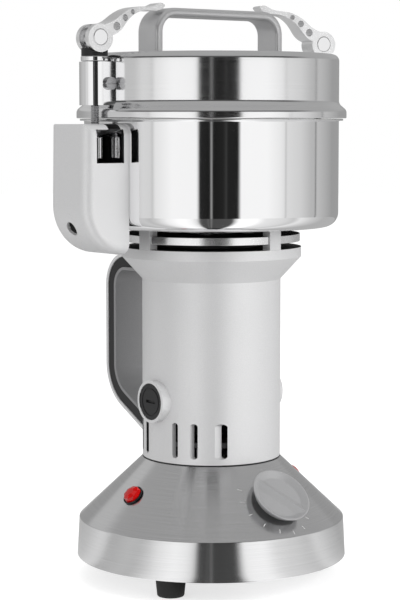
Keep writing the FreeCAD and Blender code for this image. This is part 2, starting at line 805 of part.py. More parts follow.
# ---------------------------------------------------------------- motor
def stator():
    outer = stator_radius
    bore = armature_radius + d.air_gap
    low = armature_z
    ring = tube("yoke", outer, outer - d.yoke_thickness, d.armature_height, 0, 0, low)
    poles = centred_box("pole_bar", d.pole_width, outer * 2 - 6, d.armature_height, 0, 0, low)
    shoes = common("pole_shoes",
                   tube("shoe_ring", bore + d.pole_shoe, bore, d.armature_height, 0, 0, low),
                   centred_box("shoe_bar", d.pole_width * 1.6, outer * 2, d.armature_height, 0, 0, low))
    bored = cut("stator_core_cut", fuse("stator_solid", ring, poles, shoes),
                cylinder("stator_bore", bore, d.armature_height + 2, 0, 0, low - 1))
    node("stator_core", bored)
    coils = []
    for side, sign in (("front", -1), ("rear", 1)):
        y = coil_start if sign > 0 else -(coil_start + d.coil_depth)
        width = d.pole_width + 2 * d.coil_thickness
        height = d.armature_height + 2 * d.coil_thickness
        blank = box(f"coil_blank_{side}", width, d.coil_depth, height, width / -2, y, low - d.coil_thickness)
        hole = box(f"coil_hole_{side}", d.pole_width + 0.2, d.coil_depth + 2, d.armature_height + 0.2,
                   (d.pole_width + 0.2) / -2, y - 1, low - 0.1)
        within = cylinder(f"coil_room_{side}", outer - d.yoke_thickness - d.free_gap, height, 0, 0,
                          low - d.coil_thickness)
        coils.append(common(f"coil_{side}", cut(f"coil_ring_{side}", blank, hole), within))
    node("field_coils", group("coil_group", *coils))


def rotor():
    shaft_top = blade_z + d.blade_pitch * 2 + d.blade_sheet + d.spindle_end
    node("motor_shaft", revolved("motor_shaft_body", [
        (Z0, shaft_bottom),
        (d.shaft_low_radius, shaft_bottom),
        (d.shaft_low_radius, low_bearing_z + d.low_bearing_height),
        (d.shaft_radius, low_bearing_z + d.low_bearing_height),
        (d.shaft_radius, top_bearing_z - 2),
        (d.shaft_top_radius, top_bearing_z - 2),
        (d.shaft_top_radius, blade_z - d.seat_gap),
        (d.spindle_radius, blade_z - d.seat_gap),
        (d.spindle_radius, shaft_top),
        (Z0, shaft_top),
    ]))
    bore = d.shaft_radius + d.seat_gap
    core = tube("armature_drum", armature_radius, bore, d.armature_height, 0, 0, armature_z)
    slots = []
    for index, angle in enumerate(around(12)):
        x, y = at_angle(armature_radius - 2.5, angle)
        slots.append(moved(f"rotor_slot{index}",
                           box(f"rotor_slot_tool{index}", d.armature_slot, 6, d.armature_height + 2,
                               d.armature_slot / -2, -3, -1), x, y, armature_z, turn(0, 0, 1, -angle)))
    node("armature_core", cut("armature_core_cut", core, *slots))
    low_end = tube("winding_low", winding_radius, bore, d.winding_height, 0, 0,
                   armature_z - d.winding_height - d.seat_gap)
    high_end = tube("winding_high", winding_radius, bore, d.winding_height, 0, 0,
                    armature_z + d.armature_height + d.seat_gap)
    node("armature_windings", group("winding_group", low_end, high_end))
    copper = tube("commutator_drum", d.commutator_radius, bore, d.commutator_height, 0, 0, commutator_z)
    gaps = []
    for index, angle in enumerate(around(24)):
        x, y = at_angle(d.commutator_radius, angle)
        gaps.append(moved(f"bar_gap{index}",
                          box(f"bar_gap_tool{index}", 0.6, 1.6, d.commutator_height + 2, -0.3, -0.8, -1),
                          x, y, commutator_z, turn(0, 0, 1, -angle)))
    node("commutator", cut("commutator_cut", copper, *gaps))
    disc = tube("fan_disc", fan_radius, bore, d.fan_sheet, 0, 0, fan_z)
    hub = tube("fan_hub", d.shaft_radius + 4, bore, d.fan_height, 0, 0, fan_z)
    vanes = [disc, hub]
    for index, angle in enumerate(around(9)):
        x, y = at_angle(fan_radius * 0.62, angle)
        vanes.append(moved(f"vane{index}",
                           centred_box(f"vane_sheet{index}", d.fan_sheet, fan_radius * 0.7, d.fan_height),
                           x, y, fan_z, turn(0, 0, 1, 18 - angle)))
    node("cooling_fan", fuse("cooling_fan_solid", *vanes))


def bearing(name, outer, bore, height, z):
    """A sealed ball bearing as one solid with its race grooves."""
    ring = tube(name + "_ring", outer, bore, height, 0, 0, z)
    middle = (outer + bore) / 2
    tools = []
    for end, level in (("low", z - 1), ("high", z + height - 0.6)):
        tools.append(tube(f"{name}_{end}", middle + 1.4, middle - 1.4, 1.6, 0, 0, level))
    return cut(name + "_cut", ring, *tools)


def bearings():
    low_z = low_bearing_z
    low_bore = d.shaft_low_radius + d.bearing_gap
    top_bore = d.shaft_top_radius + d.bearing_gap
    node("lower_bearing", bearing("lower_bearing_body", d.low_bearing_radius, low_bore, d.low_bearing_height,
                                  low_z))
    node("upper_bearing", bearing("upper_bearing_body", d.top_bearing_radius, top_bore, d.top_bearing_height,
                                  top_bearing_z))
    inner = stator_radius
    plate_z = low_z - d.bracket_thickness
    plate = cylinder("bracket_plate", inner, d.bracket_thickness, 0, 0, plate_z)
    cup = cylinder("bracket_cup", d.low_bearing_radius + d.bracket_thickness,
                   d.low_bearing_height + d.bracket_thickness, 0, 0, plate_z)
    tools = [
        cylinder("bracket_seat", d.low_bearing_radius + d.seat_gap, 20, 0, 0, low_z - d.seat_gap),
        cylinder("bracket_eye", d.shaft_low_radius + 1.5, 10, 0, 0, plate_z - 1),
    ]
    for index, angle in enumerate(around(4, 45.0)):
        x, y = at_angle(inner * 0.68, angle)
        tools.append(cylinder(f"bracket_window{index}", 8.5, 10, x, y, plate_z - 1))
    node("lower_bracket", cut("lower_bracket_cut", fuse("bracket_solid", plate, cup), *tools))
    flange_z = deck_z + d.seat_gap
    flange = cylinder("seat_flange", d.deck_screw_circle + 5, d.ring_lift - 2 * d.seat_gap, 0, 0, flange_z)
    cup_foot = top_bearing_z - d.bracket_thickness
    cup = cylinder("seat_cup", d.deck_hole - d.seat_gap, flange_z - cup_foot, 0, 0, cup_foot)
    tools = [
        cylinder("seat_bore", d.top_bearing_radius + d.seat_gap, 40, 0, 0, top_bearing_z - d.seat_gap),
        cylinder("seat_eye", d.shaft_top_radius + 2.0, 40, 0, 0, cup_foot - 1),
    ]
    for index, angle in enumerate(around(4, 45.0)):
        x, y = at_angle(d.deck_screw_circle, angle)
        tools.append(cylinder(f"seat_screw_bore{index}", screw_hole, 10, x, y, flange_z - 1))
    node("bearing_seat", cut("bearing_seat_cut", fuse("seat_solid", flange, cup), *tools))


# ---------------------------------------------------------------- deck and bowl
def deck():
    ring = tube("ring_blank", d.ring_radius, d.top_bearing_radius + 1, d.ring_thickness, 0, 0, ring_z)
    tools = []
    posts = []
    bowl_screws = []
    deck_screws = []
    for index, angle in enumerate(around(4, -float(d.post_turn))):
        x, y = at_angle(post_circle, angle)
        turned = turn(0, 0, 1, -angle)
        tools.append(moved(f"ring_notch{index}",
                           centred_box(f"ring_notch_tool{index}", d.post_width + 2 * d.seat_gap,
                                       d.post_depth + 2 * d.seat_gap, d.ring_thickness + 4, 0, 0, -2),
                           x, y, ring_z, turned))
        block = centred_box(f"post_block{index}", d.post_width, d.post_depth, d.post_height - 2 * d.seat_gap)
        bore = cylinder(f"post_bore{index}", screw_hole, d.post_height + 2, 0, 0, -1)
        posts.append(moved(f"post{index}", cut(f"post_cut{index}", block, bore), x, y, deck_z + d.seat_gap,
                           turned))
        bowl_screws.append(screw(f"bowl_screw{index}", d.post_height + d.bowl_floor + 3.0, x, y,
                                 floor_z + d.seat_gap))
    for index, angle in enumerate(around(4, 45.0)):
        x, y = at_angle(d.deck_screw_circle, angle)
        tools.append(cylinder(f"ring_screw_bore{index}", screw_hole, 20, x, y, ring_z - 1))
        tools.append(cylinder(f"ring_screw_sink{index}", d.screw_head + 0.3, 10, x, y,
                              ring_z + d.ring_thickness - d.screw_head_height))
        deck_screws.append(screw(f"deck_screw{index}", 12.0, x, y,
                                 ring_z + d.ring_thickness - d.screw_head_height + d.seat_gap))
        x, y = at_angle(housing_screw_circle, angle)
        deck_screws.append(screw(f"housing_screw{index}", 8.0, x, y,
                                 cone_top - d.base_sheet - d.seat_gap, turn(1, 0, 0, 180)))
    node("deck_ring", cut("deck_ring_cut", ring, *tools))
    node("bowl_posts", group("post_group", *posts))
    node("bowl_screws", group("bowl_screw_group", *bowl_screws))
    node("motor_screws", group("motor_screw_group", *deck_screws))


def bowl():
    floor_round = d.bowl_round - d.bowl_wall
    body = revolved("bowl_blank", [
        (d.bowl_hole, bowl_z),
        (d.bowl_radius, bowl_z),
        (d.bowl_radius, rim_z - d.bowl_rim_height),
        (bowl_rim_radius, rim_z - d.bowl_rim_height),
        (bowl_rim_radius, rim_z),
        (bowl_inner, rim_z),
        (bowl_inner, floor_z),
        (d.bowl_hole, floor_z),
    ])
    fillet(body, d.bowl_round, ring_edge(d.bowl_radius, bowl_z))
    fillet(body, floor_round, ring_edge(bowl_inner, floor_z))
    tools = []
    for index, angle in enumerate(around(4, -float(d.post_turn))):
        x, y = at_angle(post_circle, angle)
        tools.append(cylinder(f"bowl_screw_bore{index}", screw_hole, 8, x, y, bowl_z - 3))
    node("bowl", cut("bowl_cut", body, *tools))
    neck = cylinder("seal_neck", d.bowl_hole - d.seat_gap, d.bowl_floor + d.seal_drop + 1.0, 0, 0,
                    bowl_z - d.seal_drop)
    collar = cylinder("seal_collar", d.seal_flange, d.seal_collar_height, 0, 0, floor_z + d.seat_gap)
    seat_radius = d.shaft_top_radius + d.seal_ring_width
    bore = cylinder("seal_seat", seat_radius + d.seat_gap, 30, 0, 0, bowl_z - d.seal_lip)
    eye = cylinder("seal_eye", d.shaft_top_radius + d.seal_eye_play, 30, 0, 0, bowl_z - d.seal_drop - 2)
    node("seal_housing", cut("seal_housing_cut", fuse("seal_solid", neck, collar), bore, eye))
    node("shaft_seal", tube("shaft_seal_ring", seat_radius, d.shaft_top_radius + d.free_gap,
                            d.seal_ring_height, 0, 0, bowl_z - d.seal_lip + d.seat_gap))


def blades():
    """Three two-armed blades, turned against each other, with a gentle bend near the tips."""
    bore = d.spindle_radius + d.seat_gap
    for index, (name, lift) in enumerate((("blade_lower", 1), ("blade_middle", 0), ("blade_upper", -1))):
        z = blade_z + d.blade_pitch * index
        half = d.blade_length / 2
        bend = half * 0.55
        rise = (half - bend) * math.tan(math.radians(float(d.blade_bend))) * lift
        points = [(-half, rise), (-bend, 0), (bend, 0), (half, rise),
                  (half, rise + d.blade_sheet), (bend, d.blade_sheet), (-bend, d.blade_sheet),
                  (-half, rise + d.blade_sheet)]
        bar = extruded(f"{name}_bar", "XZ_Plane", points, d.blade_width)
        drilled = cut(f"{name}_cut", bar, cylinder(f"{name}_bore", bore, 10, 0, 0, -3))
        node(name, moved(f"{name}_at", drilled, 0, 0, z, turn(0, 0, 1, 60.0 * index)))
    gap = d.blade_pitch - d.blade_sheet - 2 * d.seat_gap
    spacers = []
    for index in range(2):
        z = blade_z + d.blade_pitch * index + d.blade_sheet + d.seat_gap
        spacers.append(tube(f"spacer{index}", d.spindle_radius + 3.5, bore, gap, 0, 0, z))
    node("blade_spacers", group("spacer_group", *spacers))
    nut_z = blade_z + d.blade_pitch * 2 + d.blade_sheet + d.seat_gap
    skirt = cylinder("dome_skirt", d.nut_dome_radius, 9.0, 0, 0, nut_z)
    dome = sphere("dome_cap", d.nut_dome_radius, 0, 0, nut_z + 9.0)
    above = common("dome_half", dome, cylinder("dome_keep", d.nut_dome_radius + 1, 12, 0, 0, nut_z + 8.9))
    thread = cylinder("dome_thread", bore, d.spindle_end + 0.5, 0, 0, nut_z - 0.1)
    node("blade_nut", cut("blade_nut_cut", fuse("dome_solid", skirt, above), thread))


# ---------------------------------------------------------------- switch box and catches
def rod_way(name, z, height):
    """The slot that lets a clamp rod in from the open side: towards -Y on the left."""
    return box(name, slot_outer - slot_inner, d.box_half_width + d.rod_radius + 1.0 + 6, height,
               -slot_outer, -d.box_half_width - 6, z)


def switch_box():
    half = d.box_half_width
    corner = d.box_round
    inner_x = -as_size(d.bowl_radius) * 0.86
    body = extruded("box_blank", "XZ_Plane", [
        (-box_reach, box_bottom), (inner_x, box_bottom), (inner_x, box_top), (-box_reach + 1.2, box_top),
    ], half * 2)
    fillet(body, corner, line_edge(x=-box_reach, z=box_bottom))
    fillet(body, d.box_edge, lambda edge: abs(abs(edge.CenterOfMass.y) - float(half)) < 0.01
           and edge.CenterOfMass.x < float(-box_reach) + 25 and edge.Length > 3)
    wall = d.box_wall
    hollow = extruded("box_hollow", "XZ_Plane", [
        (-box_reach + wall, box_bottom + wall), (inner_x + 4, box_bottom + wall),
        (inner_x + 4, window_top + 0.4), (-box_reach + wall + 1.2, window_top + 0.4),
    ], (half - wall) * 2)
    fillet(hollow, corner - wall, line_edge(x=-box_reach + wall, z=box_bottom + wall))
    window = box("box_window", d.window_width, wall * 3, d.window_height,
                 -window_inner - d.window_width, -half - wall, window_bottom)
    access = moved("box_access", cylinder("box_access_tool", 4.6, 16, 0, 0, -8),
                   -box_reach + 6.5, 0, box_bottom + 14.5, turn(0, 1, 0, -58))
    wall_cut = cylinder("box_bowl_cut", d.bowl_radius + d.seat_gap, 200, 0, 0, bowl_z - 100)
    node("switch_box", cut("switch_box_cut", body, hollow, window, access,
                           rod_way("box_rod_way", window_top - 1, 10), wall_cut))
    plate_top = window_top + 0.4 - d.seat_gap
    lead = as_size(d.nut_radius) + 0.5
    far = half - wall - d.seat_gap
    plate_x = d.bowl_radius + d.free_gap + d.catch_plate_width / 2
    plate = extruded("catch_wedge", "YZ_Plane", [
        (-far, ramp_low + (far + lead) * d.lead_in_slope), (lead, ramp_low), (far, ramp_low),
        (far, plate_top), (-far, plate_top),
    ], d.catch_plate_width)
    placed = moved("catch_wedge_at", plate, -plate_x, 0, 0)
    node("catch_plate", cut("catch_plate_cut", placed, rod_way("plate_rod_way", ramp_low - 2, 12)))
    switch_z = nut_bottom - 12.0
    body_block = centred_box("switch_block", 12.0, 20.0, 9.0, -clamp_reach, 2.0, switch_z)
    arm = centred_box("switch_arm", 4.0, 18.0, 0.6, -clamp_reach, 1.0, switch_z + 9.6)
    foot = centred_box("switch_arm_foot", 4.0, 2.0, 1.0, -clamp_reach, 9.0, switch_z + 8.8)
    leg = centred_box("switch_bracket", 12.0, 20.0, 2.0, -clamp_reach, 2.0, switch_z - 2.0)
    stay = box("switch_stay", d.box_overhang - wall - 4.0, 20.0, 4.0,
               -box_reach + wall + 1.4, -8.0, switch_z)
    node("microswitch", fuse("microswitch_solid", body_block, arm, foot, leg, stay))


def right_catch():
    """A plain welded hook for the other clamp, open towards +Y."""
    half = d.catch_half_width
    lead = as_size(d.nut_radius) + 0.5
    top = ramp_low + (half + lead) * d.lead_in_slope + 2.2
    hook = extruded("hook_wedge", "YZ_Plane", [
        (-half, ramp_low + (half + lead) * d.lead_in_slope), (lead, ramp_low), (half, ramp_low),
        (half, top), (-half, top),
    ], 24.0)
    placed = moved("hook_wedge_at", hook, -catch_reach + 12.0, 0, 0)
    web = box("hook_web", catch_reach - d.bowl_radius + 6, 2.5, d.catch_height,
              -catch_reach, half - 2.5, top - d.catch_height)
    slotted = cut("hook_slotted", fuse("hook_solid", placed, web),
                  rod_way("hook_rod_way", ramp_low - 2, 12),
                  cylinder("hook_bowl_cut", d.bowl_radius + d.seat_gap, 200, 0, 0, bowl_z - 100))
    node("right_catch", moved("right_catch_at", slotted, 0, 0, 0, HALF_TURN))


# ---------------------------------------------------------------- lid
def lid():
    bead_inner = bead_radius - d.lid_wall
    slope_z = lid_z + d.bead_height
    wall_z = slope_z + d.bead_slope
    body = revolved("lid_blank", [
        (bead_radius, lid_z),
        (bead_radius, slope_z),
        (d.bowl_radius, wall_z),
        (d.bowl_radius, lid_top),
        (Z0, lid_top),
        (Z0, lid_top - d.lid_wall),
        (lid_inner, lid_top - d.lid_wall),
        (lid_inner, wall_z - d.lid_wall * 0.6),
        (bead_inner, slope_z - d.lid_wall * 0.4),
        (bead_inner, lid_z),
    ])
    fillet(body, d.lid_round, ring_edge(d.bowl_radius, lid_top))
    fillet(body, d.lid_round - d.lid_wall, ring_edge(lid_inner, lid_top - d.lid_wall))
    fillet(body, d.lid_round * 0.5, ring_edge(bead_radius, slope_z))
    tools = []
    for sign in (-1, 1):
        x = (handle_half - d.handle_sheet / 2) * sign
        tools.append(cylinder(f"lid_handle_bore{sign}", screw_hole, 10, x, 0, lid_top - 5))
        for place in (-1, 1):
            for level in (-1, 1):
                start = d.bowl_radius - 11 if sign > 0 else -d.bowl_radius - 9
                tools.append(cylinder(f"lid_block_bore{sign}{place}{level}", screw_hole, 20, start,
                                      d.block_screw_y * place,
                                      block_mid + d.block_screw_rise * level, ALONG_X))
    node("lid_shell", cut("lid_shell_cut", body, *tools))
    inner = bead_inner - d.free_gap
    node("lid_gasket", tube("gasket_ring", inner, inner - d.gasket_width, d.gasket_height, 0, 0,
                            rim_z + d.free_gap))


def lid_handle():
    """A flat bar bent to a low arch."""
    def arch(name, half, foot, top, corner):
        body = extruded(name, "XZ_Plane", [(-half, foot), (half, foot), (half, top), (-half, top)], depth)
        return fillet(body, corner, line_edge_pair(half, top))

    def line_edge_pair(half, top):
        def chosen(edge):
            if not isinstance(edge.Curve, Part.Line):
                return False
            middle = edge.CenterOfMass
            return abs(abs(middle.x) - float(half)) < 0.01 and abs(middle.z - float(top)) < 0.01
        return chosen

    depth = d.handle_width
    outer = arch("handle_outer", handle_half, lid_top + d.seat_gap, handle_top, d.handle_round)
    depth = d.handle_width + 4
    inner = arch("handle_inner", handle_half - d.handle_sheet, lid_top - 2, handle_top - d.handle_sheet,
                 d.handle_round - d.handle_sheet)
    tools = [inner]
    screws = []
    for sign in (-1, 1):
        x = (handle_half - d.handle_sheet / 2) * sign
        tools.append(cylinder(f"handle_bore{sign}", screw_hole * 0.75, 9, x, 0, lid_top - 1))
        shank = cylinder(f"handle_screw_shank{sign}", d.screw_radius * 0.75, 9.0, x, 0, lid_top - d.lid_wall)
        head = cylinder(f"handle_screw_head{sign}", d.screw_head, d.screw_head_height, x, 0,
                        lid_top - d.lid_wall - d.seat_gap - d.screw_head_height)
        screws.append(fuse(f"handle_screw{sign}", shank, head))
    node("lid_handle", cut("lid_handle_cut", outer, *tools))
    for sign, side in ((-1, "left"), (1, "right")):
        for place in (-1, 1):
            for level in (-1, 1):
                turned = turn(0, 1, 0, -90 * sign)
                screws.append(screw(f"block_screw_{side}{place}{level}", 5.0,
                                    (lid_inner - d.block_screw_sag) * sign, d.block_screw_y * place,
                                    block_mid + d.block_screw_rise * level, turned))
        screws.append(screw(f"cross_screw_{side}", d.cross_screw_length,
                            (clamp_reach - d.cross_screw_inset) * sign,
                            -d.clamp_block_radius - d.seat_gap, block_mid, turn(1, 0, 0, 90)))
    node("lid_screws", group("lid_screw_group", *screws))


def clamps():
    blocks = []
    rings = []
    pads = []
    for side, sign, yaw in (("left", -1, d.left_yaw), ("right", 1, d.right_yaw)):
        x = clamp_reach * sign
        drum = cylinder(f"block_drum_{side}", d.clamp_block_radius, d.clamp_block_height, x, 0, block_z)
        neck_length = clamp_reach - d.bowl_radius * 0.95
        neck_x = x if sign < 0 else x - neck_length
        neck = box(f"block_neck_{side}", neck_length, d.clamp_block_radius * 2, d.clamp_block_height,
                   neck_x, -d.clamp_block_radius, block_z)
        skirt = cone(f"block_skirt_{side}", bead_radius + d.seat_gap, d.bowl_radius + d.seat_gap,
                     d.bead_slope, 0, 0, lid_z + d.bead_height)
        wall = cylinder(f"block_wall_{side}", d.bowl_radius + d.seat_gap, 60, 0, 0, block_z - 20)
        bore = cylinder(f"block_bore_{side}", rod_hole, 60, x, 0, block_z - 10)
        tools = [wall, skirt, bore]
        thread_inner = d.bowl_radius - 6.0
        thread_outer = clamp_reach - rod_hole - 1.7
        start = thread_inner if sign > 0 else -thread_outer
        for place in (-1, 1):
            for level in (-1, 1):
                tools.append(cylinder(f"block_thread_{side}{place}{level}", screw_hole,
                                      thread_outer - thread_inner, start, d.block_screw_y * place,
                                      block_mid + d.block_screw_rise * level, ALONG_X))
        cross_x = (clamp_reach - d.cross_screw_inset) * sign
        tools.append(cylinder(f"block_cross_thread_{side}", screw_hole, d.cross_screw_length + 2, cross_x,
                              -d.clamp_block_radius - 1, block_mid, ALONG_Y))
        blocks.append(cut(f"block_cut_{side}", fuse(f"block_solid_{side}", drum, neck), *tools))
        rings.append(tube(f"clamp_ring_{side}", d.clamp_ring_radius, rod_hole,
                          d.clamp_ring_height - d.seat_gap, x, 0, ring_seat))
        pads.append(clamp_pad(side, x, sign, yaw))
        clamp_rod(side, x, sign, yaw)
        lever(side, x, sign, yaw)
    node("clamp_blocks", group("clamp_block_group", *blocks))
    node("clamp_rings", group("clamp_ring_group", *rings))
    node("clamp_pads", group("clamp_pad_group", *pads))


def lever_turn(sign, yaw):
    """The lever's own frame: local +X runs inboard, turned clockwise by its yaw."""
    return turn(0, 0, 1, (0.0 if sign < 0 else 180.0) - float(yaw))


def clamp_pad(side, x, sign, yaw):
    """Plastic pad with a hollow that the two cam discs roll in."""
    block = cylinder(f"pad_block_{side}", d.pad_radius, d.pad_height, 0, 0, pad_z)
    saddle = cylinder(f"pad_saddle_{side}", d.cam_radius + d.saddle_gap, 40, 0, -20, pivot_z - d.cam_offset,
                      ALONG_Y)
    bore = cylinder(f"pad_bore_{side}", rod_hole, 30, 0, 0, pad_z - 5)
    hollowed = cut(f"pad_cut_{side}", block, saddle, bore)
    return moved(f"pad_at_{side}", hollowed, x, 0, 0, lever_turn(sign, yaw))


def clamp_rod(side, x, sign, yaw):
    """Threaded rod with an eye at the top, and the round nut at its foot."""
    eye_width = d.cam_spacing - d.cam_thickness - 2 * d.free_gap
    shank = cylinder(f"rod_shank_{side}", d.rod_radius, pivot_z - nut_bottom - 1.0, 0, 0, nut_bottom + 1.0)
    eye = cylinder(f"rod_eye_{side}", d.eye_radius, eye_width, 0, eye_width / -2, pivot_z, ALONG_Y)
    bore = cylinder(f"rod_eye_bore_{side}", eye_bore, 40, 0, -20, pivot_z, ALONG_Y)
    grooves = [bore]
    for level in range(7):
        grooves.append(tube(f"rod_thread_{side}{level}", d.rod_radius + 1, d.rod_radius - 0.35, 0.9, 0, 0,
                            nut_top + 1.0 + level * 2.2))
    node(f"clamp_rod_{side}", moved(f"rod_at_{side}", cut(f"rod_cut_{side}",
                                                          fuse(f"rod_solid_{side}", shank, eye), *grooves),
                                    x, 0, 0, lever_turn(sign, yaw)))
    barrel = cylinder(f"nut_barrel_{side}", d.nut_radius, d.nut_height, x, 0, nut_bottom)
    waist = tube(f"nut_waist_{side}", d.nut_radius + 1, d.nut_radius - 0.5, 1.0, x, 0, nut_top - 3.0)
    thread = cylinder(f"nut_thread_{side}", d.rod_radius + d.seat_gap, d.nut_height + 2, x, 0,
                      nut_bottom + 1.0 - d.seat_gap)
    node(f"clamp_nut_{side}", cut(f"nut_cut_{side}", barrel, waist, thread))


def lever(side, x, sign, yaw):
    """Cam lever: two discs on a common pin and a curved arm with three holes."""
    cam = d.cam_radius
    outer_half = (d.cam_spacing + d.cam_thickness) / 2
    slot_half = (d.cam_spacing - d.cam_thickness) / 2
    scale = float(cam) / 8.1
    upper = [(0.0, 6.6), (4.5, 7.8), (8.0, 9.1), (12.0, 11.7), (16.0, 14.5), (21.0, 16.9), (27.0, 18.0),
             (33.0, 18.2), (38.0, 19.4), (41.6, 20.6)]
    tip = [(44.6, 19.3), (43.0, 17.4)]
    lower = [(38.5, 16.0), (33.0, 15.9), (27.0, 15.0), (22.0, 12.6), (17.8, 9.0), (14.6, 5.3), (11.6, 2.8),
             (8.4, 1.3), (4.0, 1.0)]
    knots = [FreeCAD.Vector(u * scale, 0, w * scale) for u, w in upper + tip + lower]
    outline = Part.BSplineCurve()
    outline.interpolate(knots)
    closing = Part.LineSegment(knots[-1], knots[0])
    face = Part.Face(Part.Wire([outline.toShape(), closing.toShape()]))
    arm = doc.addObject("Part::Feature", f"lever_arm_{side}")
    arm.Shape = face.extrude(FreeCAD.Vector(0, 2 * float(outer_half), 0))
    arm.Placement = FreeCAD.Placement(FreeCAD.Vector(0, -float(outer_half), 0), UP)
    discs = cylinder(f"lever_discs_{side}", cam, outer_half * 2, 0, -outer_half, -d.cam_offset, ALONG_Y)
    taper = extruded(f"lever_taper_{side}", "XY_Plane", [
        (-cam * 2, -outer_half), (cam * 1.7, -outer_half), (cam * 3.2, outer_half * -0.72),
        (cam * 7, outer_half * -0.62), (cam * 7, outer_half * 0.62), (cam * 3.2, outer_half * 0.72),
        (cam * 1.7, outer_half), (-cam * 2, outer_half),
    ], 80)
    shaped = common(f"lever_shaped_{side}", fuse(f"lever_blank_{side}", arm, discs), taper)
    tools = [
        centred_box(f"lever_gap_{side}", cam * 4, slot_half * 2, cam * 4,
                    -(cam * 2) + d.eye_radius + 0.9, 0, -(cam * 4) + d.eye_radius + 0.9),
        centred_box(f"lever_gap_back_{side}", cam * 4, slot_half * 2, cam * 5, -(cam * 2), 0, -(cam * 2)),
        cylinder(f"lever_eye_room_{side}", d.eye_radius + 0.9, slot_half * 2, 0, -slot_half, 0, ALONG_Y),
        cylinder(f"lever_pin_bore_{side}", d.pin_radius + d.seat_gap, 40, 0, -20, 0, ALONG_Y),
    ]
    for end, start in (("front", -outer_half - 1), ("rear", outer_half - d.pin_head_height)):
        tools.append(cylinder(f"lever_counterbore_{side}{end}", d.pin_head_radius + d.seat_gap,
                              d.pin_head_height + 1, 0, start, 0, ALONG_Y))
    for index, (u, w, radius) in enumerate(((10.7, 6.3, 2.3), (16.6, 11.3, 1.9), (22.2, 14.8, 1.4))):
        tools.append(cylinder(f"lever_hole_{side}{index}", radius * scale, 40, u * scale, -20, w * scale,
                              ALONG_Y))
    raise_angle = 0.0 if sign < 0 else float(d.right_raise)
    turned = lever_turn(sign, yaw).multiply(turn(0, 1, 0, -raise_angle))
    node(f"clamp_lever_{side}", moved(f"lever_at_{side}", cut(f"lever_cut_{side}", shaped, *tools),
                                      x, 0, pivot_z, turned))
    shank = cylinder(f"pin_shank_{side}", d.pin_radius, outer_half * 2 - 0.4, 0, 0.2 - outer_half, 0, ALONG_Y)
    heads = [shank]
    for end, start in (("front", -outer_half - 0.2),
                       ("rear", outer_half + 0.2 - d.pin_head_height)):
        heads.append(cylinder(f"pin_head_{side}{end}", d.pin_head_radius, d.pin_head_height, 0, start, 0,
                              ALONG_Y))
    node(f"pivot_pin_{side}", moved(f"pin_at_{side}", fuse(f"pin_solid_{side}", *heads), x, 0, pivot_z,
                                    lever_turn(sign, yaw)))


# ---------------------------------------------------------------- motor side handle
def grip_loop(name, inset, width):
    """The D-shaped side outline of the motor handle, drawn in by an inset."""
    reach = d.grip_reach - inset
    top = housing_top + d.grip_top - inset
    fall = math.tan(math.radians(float(d.grip_fall)))
    half_turn = math.tan(math.radians(45 - float(d.grip_fall) / 2))
    knee = cone_top + d.grip_corner + inset * half_turn
    foot_y = as_size(30.0)
    foot = knee - (reach - foot_y) * fall
    body = extruded(name, "YZ_Plane", [(foot_y, foot), (reach, knee), (reach, top), (foot_y, top)], width)
    fillet(body, d.grip_round - inset, line_edge(y=reach, z=top))
    fillet(body, d.grip_low_round - inset, line_edge(y=reach, z=knee))
    return body


def side_handle():
    width = d.grip_width
    inset = [Z0, d.grip_skin, d.grip_skin + d.grip_core, d.grip_skin + d.grip_core + d.grip_liner]
    names = ("grip_skin", "grip_core", "grip_liner")
    for index, name in enumerate(names):
        gap = d.seat_gap if index else Z0
        side = Z0 if name != "grip_core" else as_size(1.2)
        outer = grip_loop(f"{name}_outer", inset[index] + gap, width - side)
        inner = grip_loop(f"{name}_inner", inset[index + 1], width + 4)
        keep = fuse(f"{name}_keep",
                    cylinder(f"{name}_base", d.grip_reach, 40, 0, 0, cone_top + d.seat_gap - 40),
                    cylinder(f"{name}_barrel", d.housing_radius + d.seat_gap, 200, 0, 0, cone_top - 40),
                    cone(f"{name}_flare", d.housing_radius + d.seat_gap, d.flare_radius + d.seat_gap,
                         d.flare_rise, 0, 0, housing_top),
                    cylinder(f"{name}_band", d.flare_radius + d.seat_gap, 30, 0, 0, flare_corner))
        node(name, cut(f"{name}_cut", outer, inner, keep))


# ---------------------------------------------------------------- build, check and write
def build():
    base_shell()
    base_plate()
    timer()
    lamps()
    cord_gland()
    housing()
    brush_sets()
    stator()
    rotor()
    bearings()
    deck()
    bowl()
    blades()
    switch_box()
    right_catch()
    lid()
    lid_handle()
    clamps()
    side_handle()
    doc.recompute()


def check():
    for thing in doc.Objects:
        if "Invalid" in thing.State or "Error" in thing.State:
            raise RuntimeError(f"{thing.Name} failed: {thing.State}")
    for thing in nodes:
        shape = thing.Shape
        if shape.isNull() or not shape.isValid() or not shape.Solids:
            raise RuntimeError(f"{thing.Label} has no valid solid")


def write():
    os.makedirs("parts", exist_ok=True)
    for thing in nodes:
        thing.Shape.exportStep(f"parts/{thing.Label}.step")
        solids = len(thing.Shape.Solids)
        print(f"{thing.Label:22s} {solids:2d} solids  {thing.Shape.Volume / 1000:9.2f} cm3")


build()
check()
write()
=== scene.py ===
"""Dresses the bench grain mill: polished bowl and lid, satin column, brushed base, clamps and trim."""
import json
import math
from functools import cache

import bmesh
import bpy
import numpy as np
from mathutils import Matrix, Vector


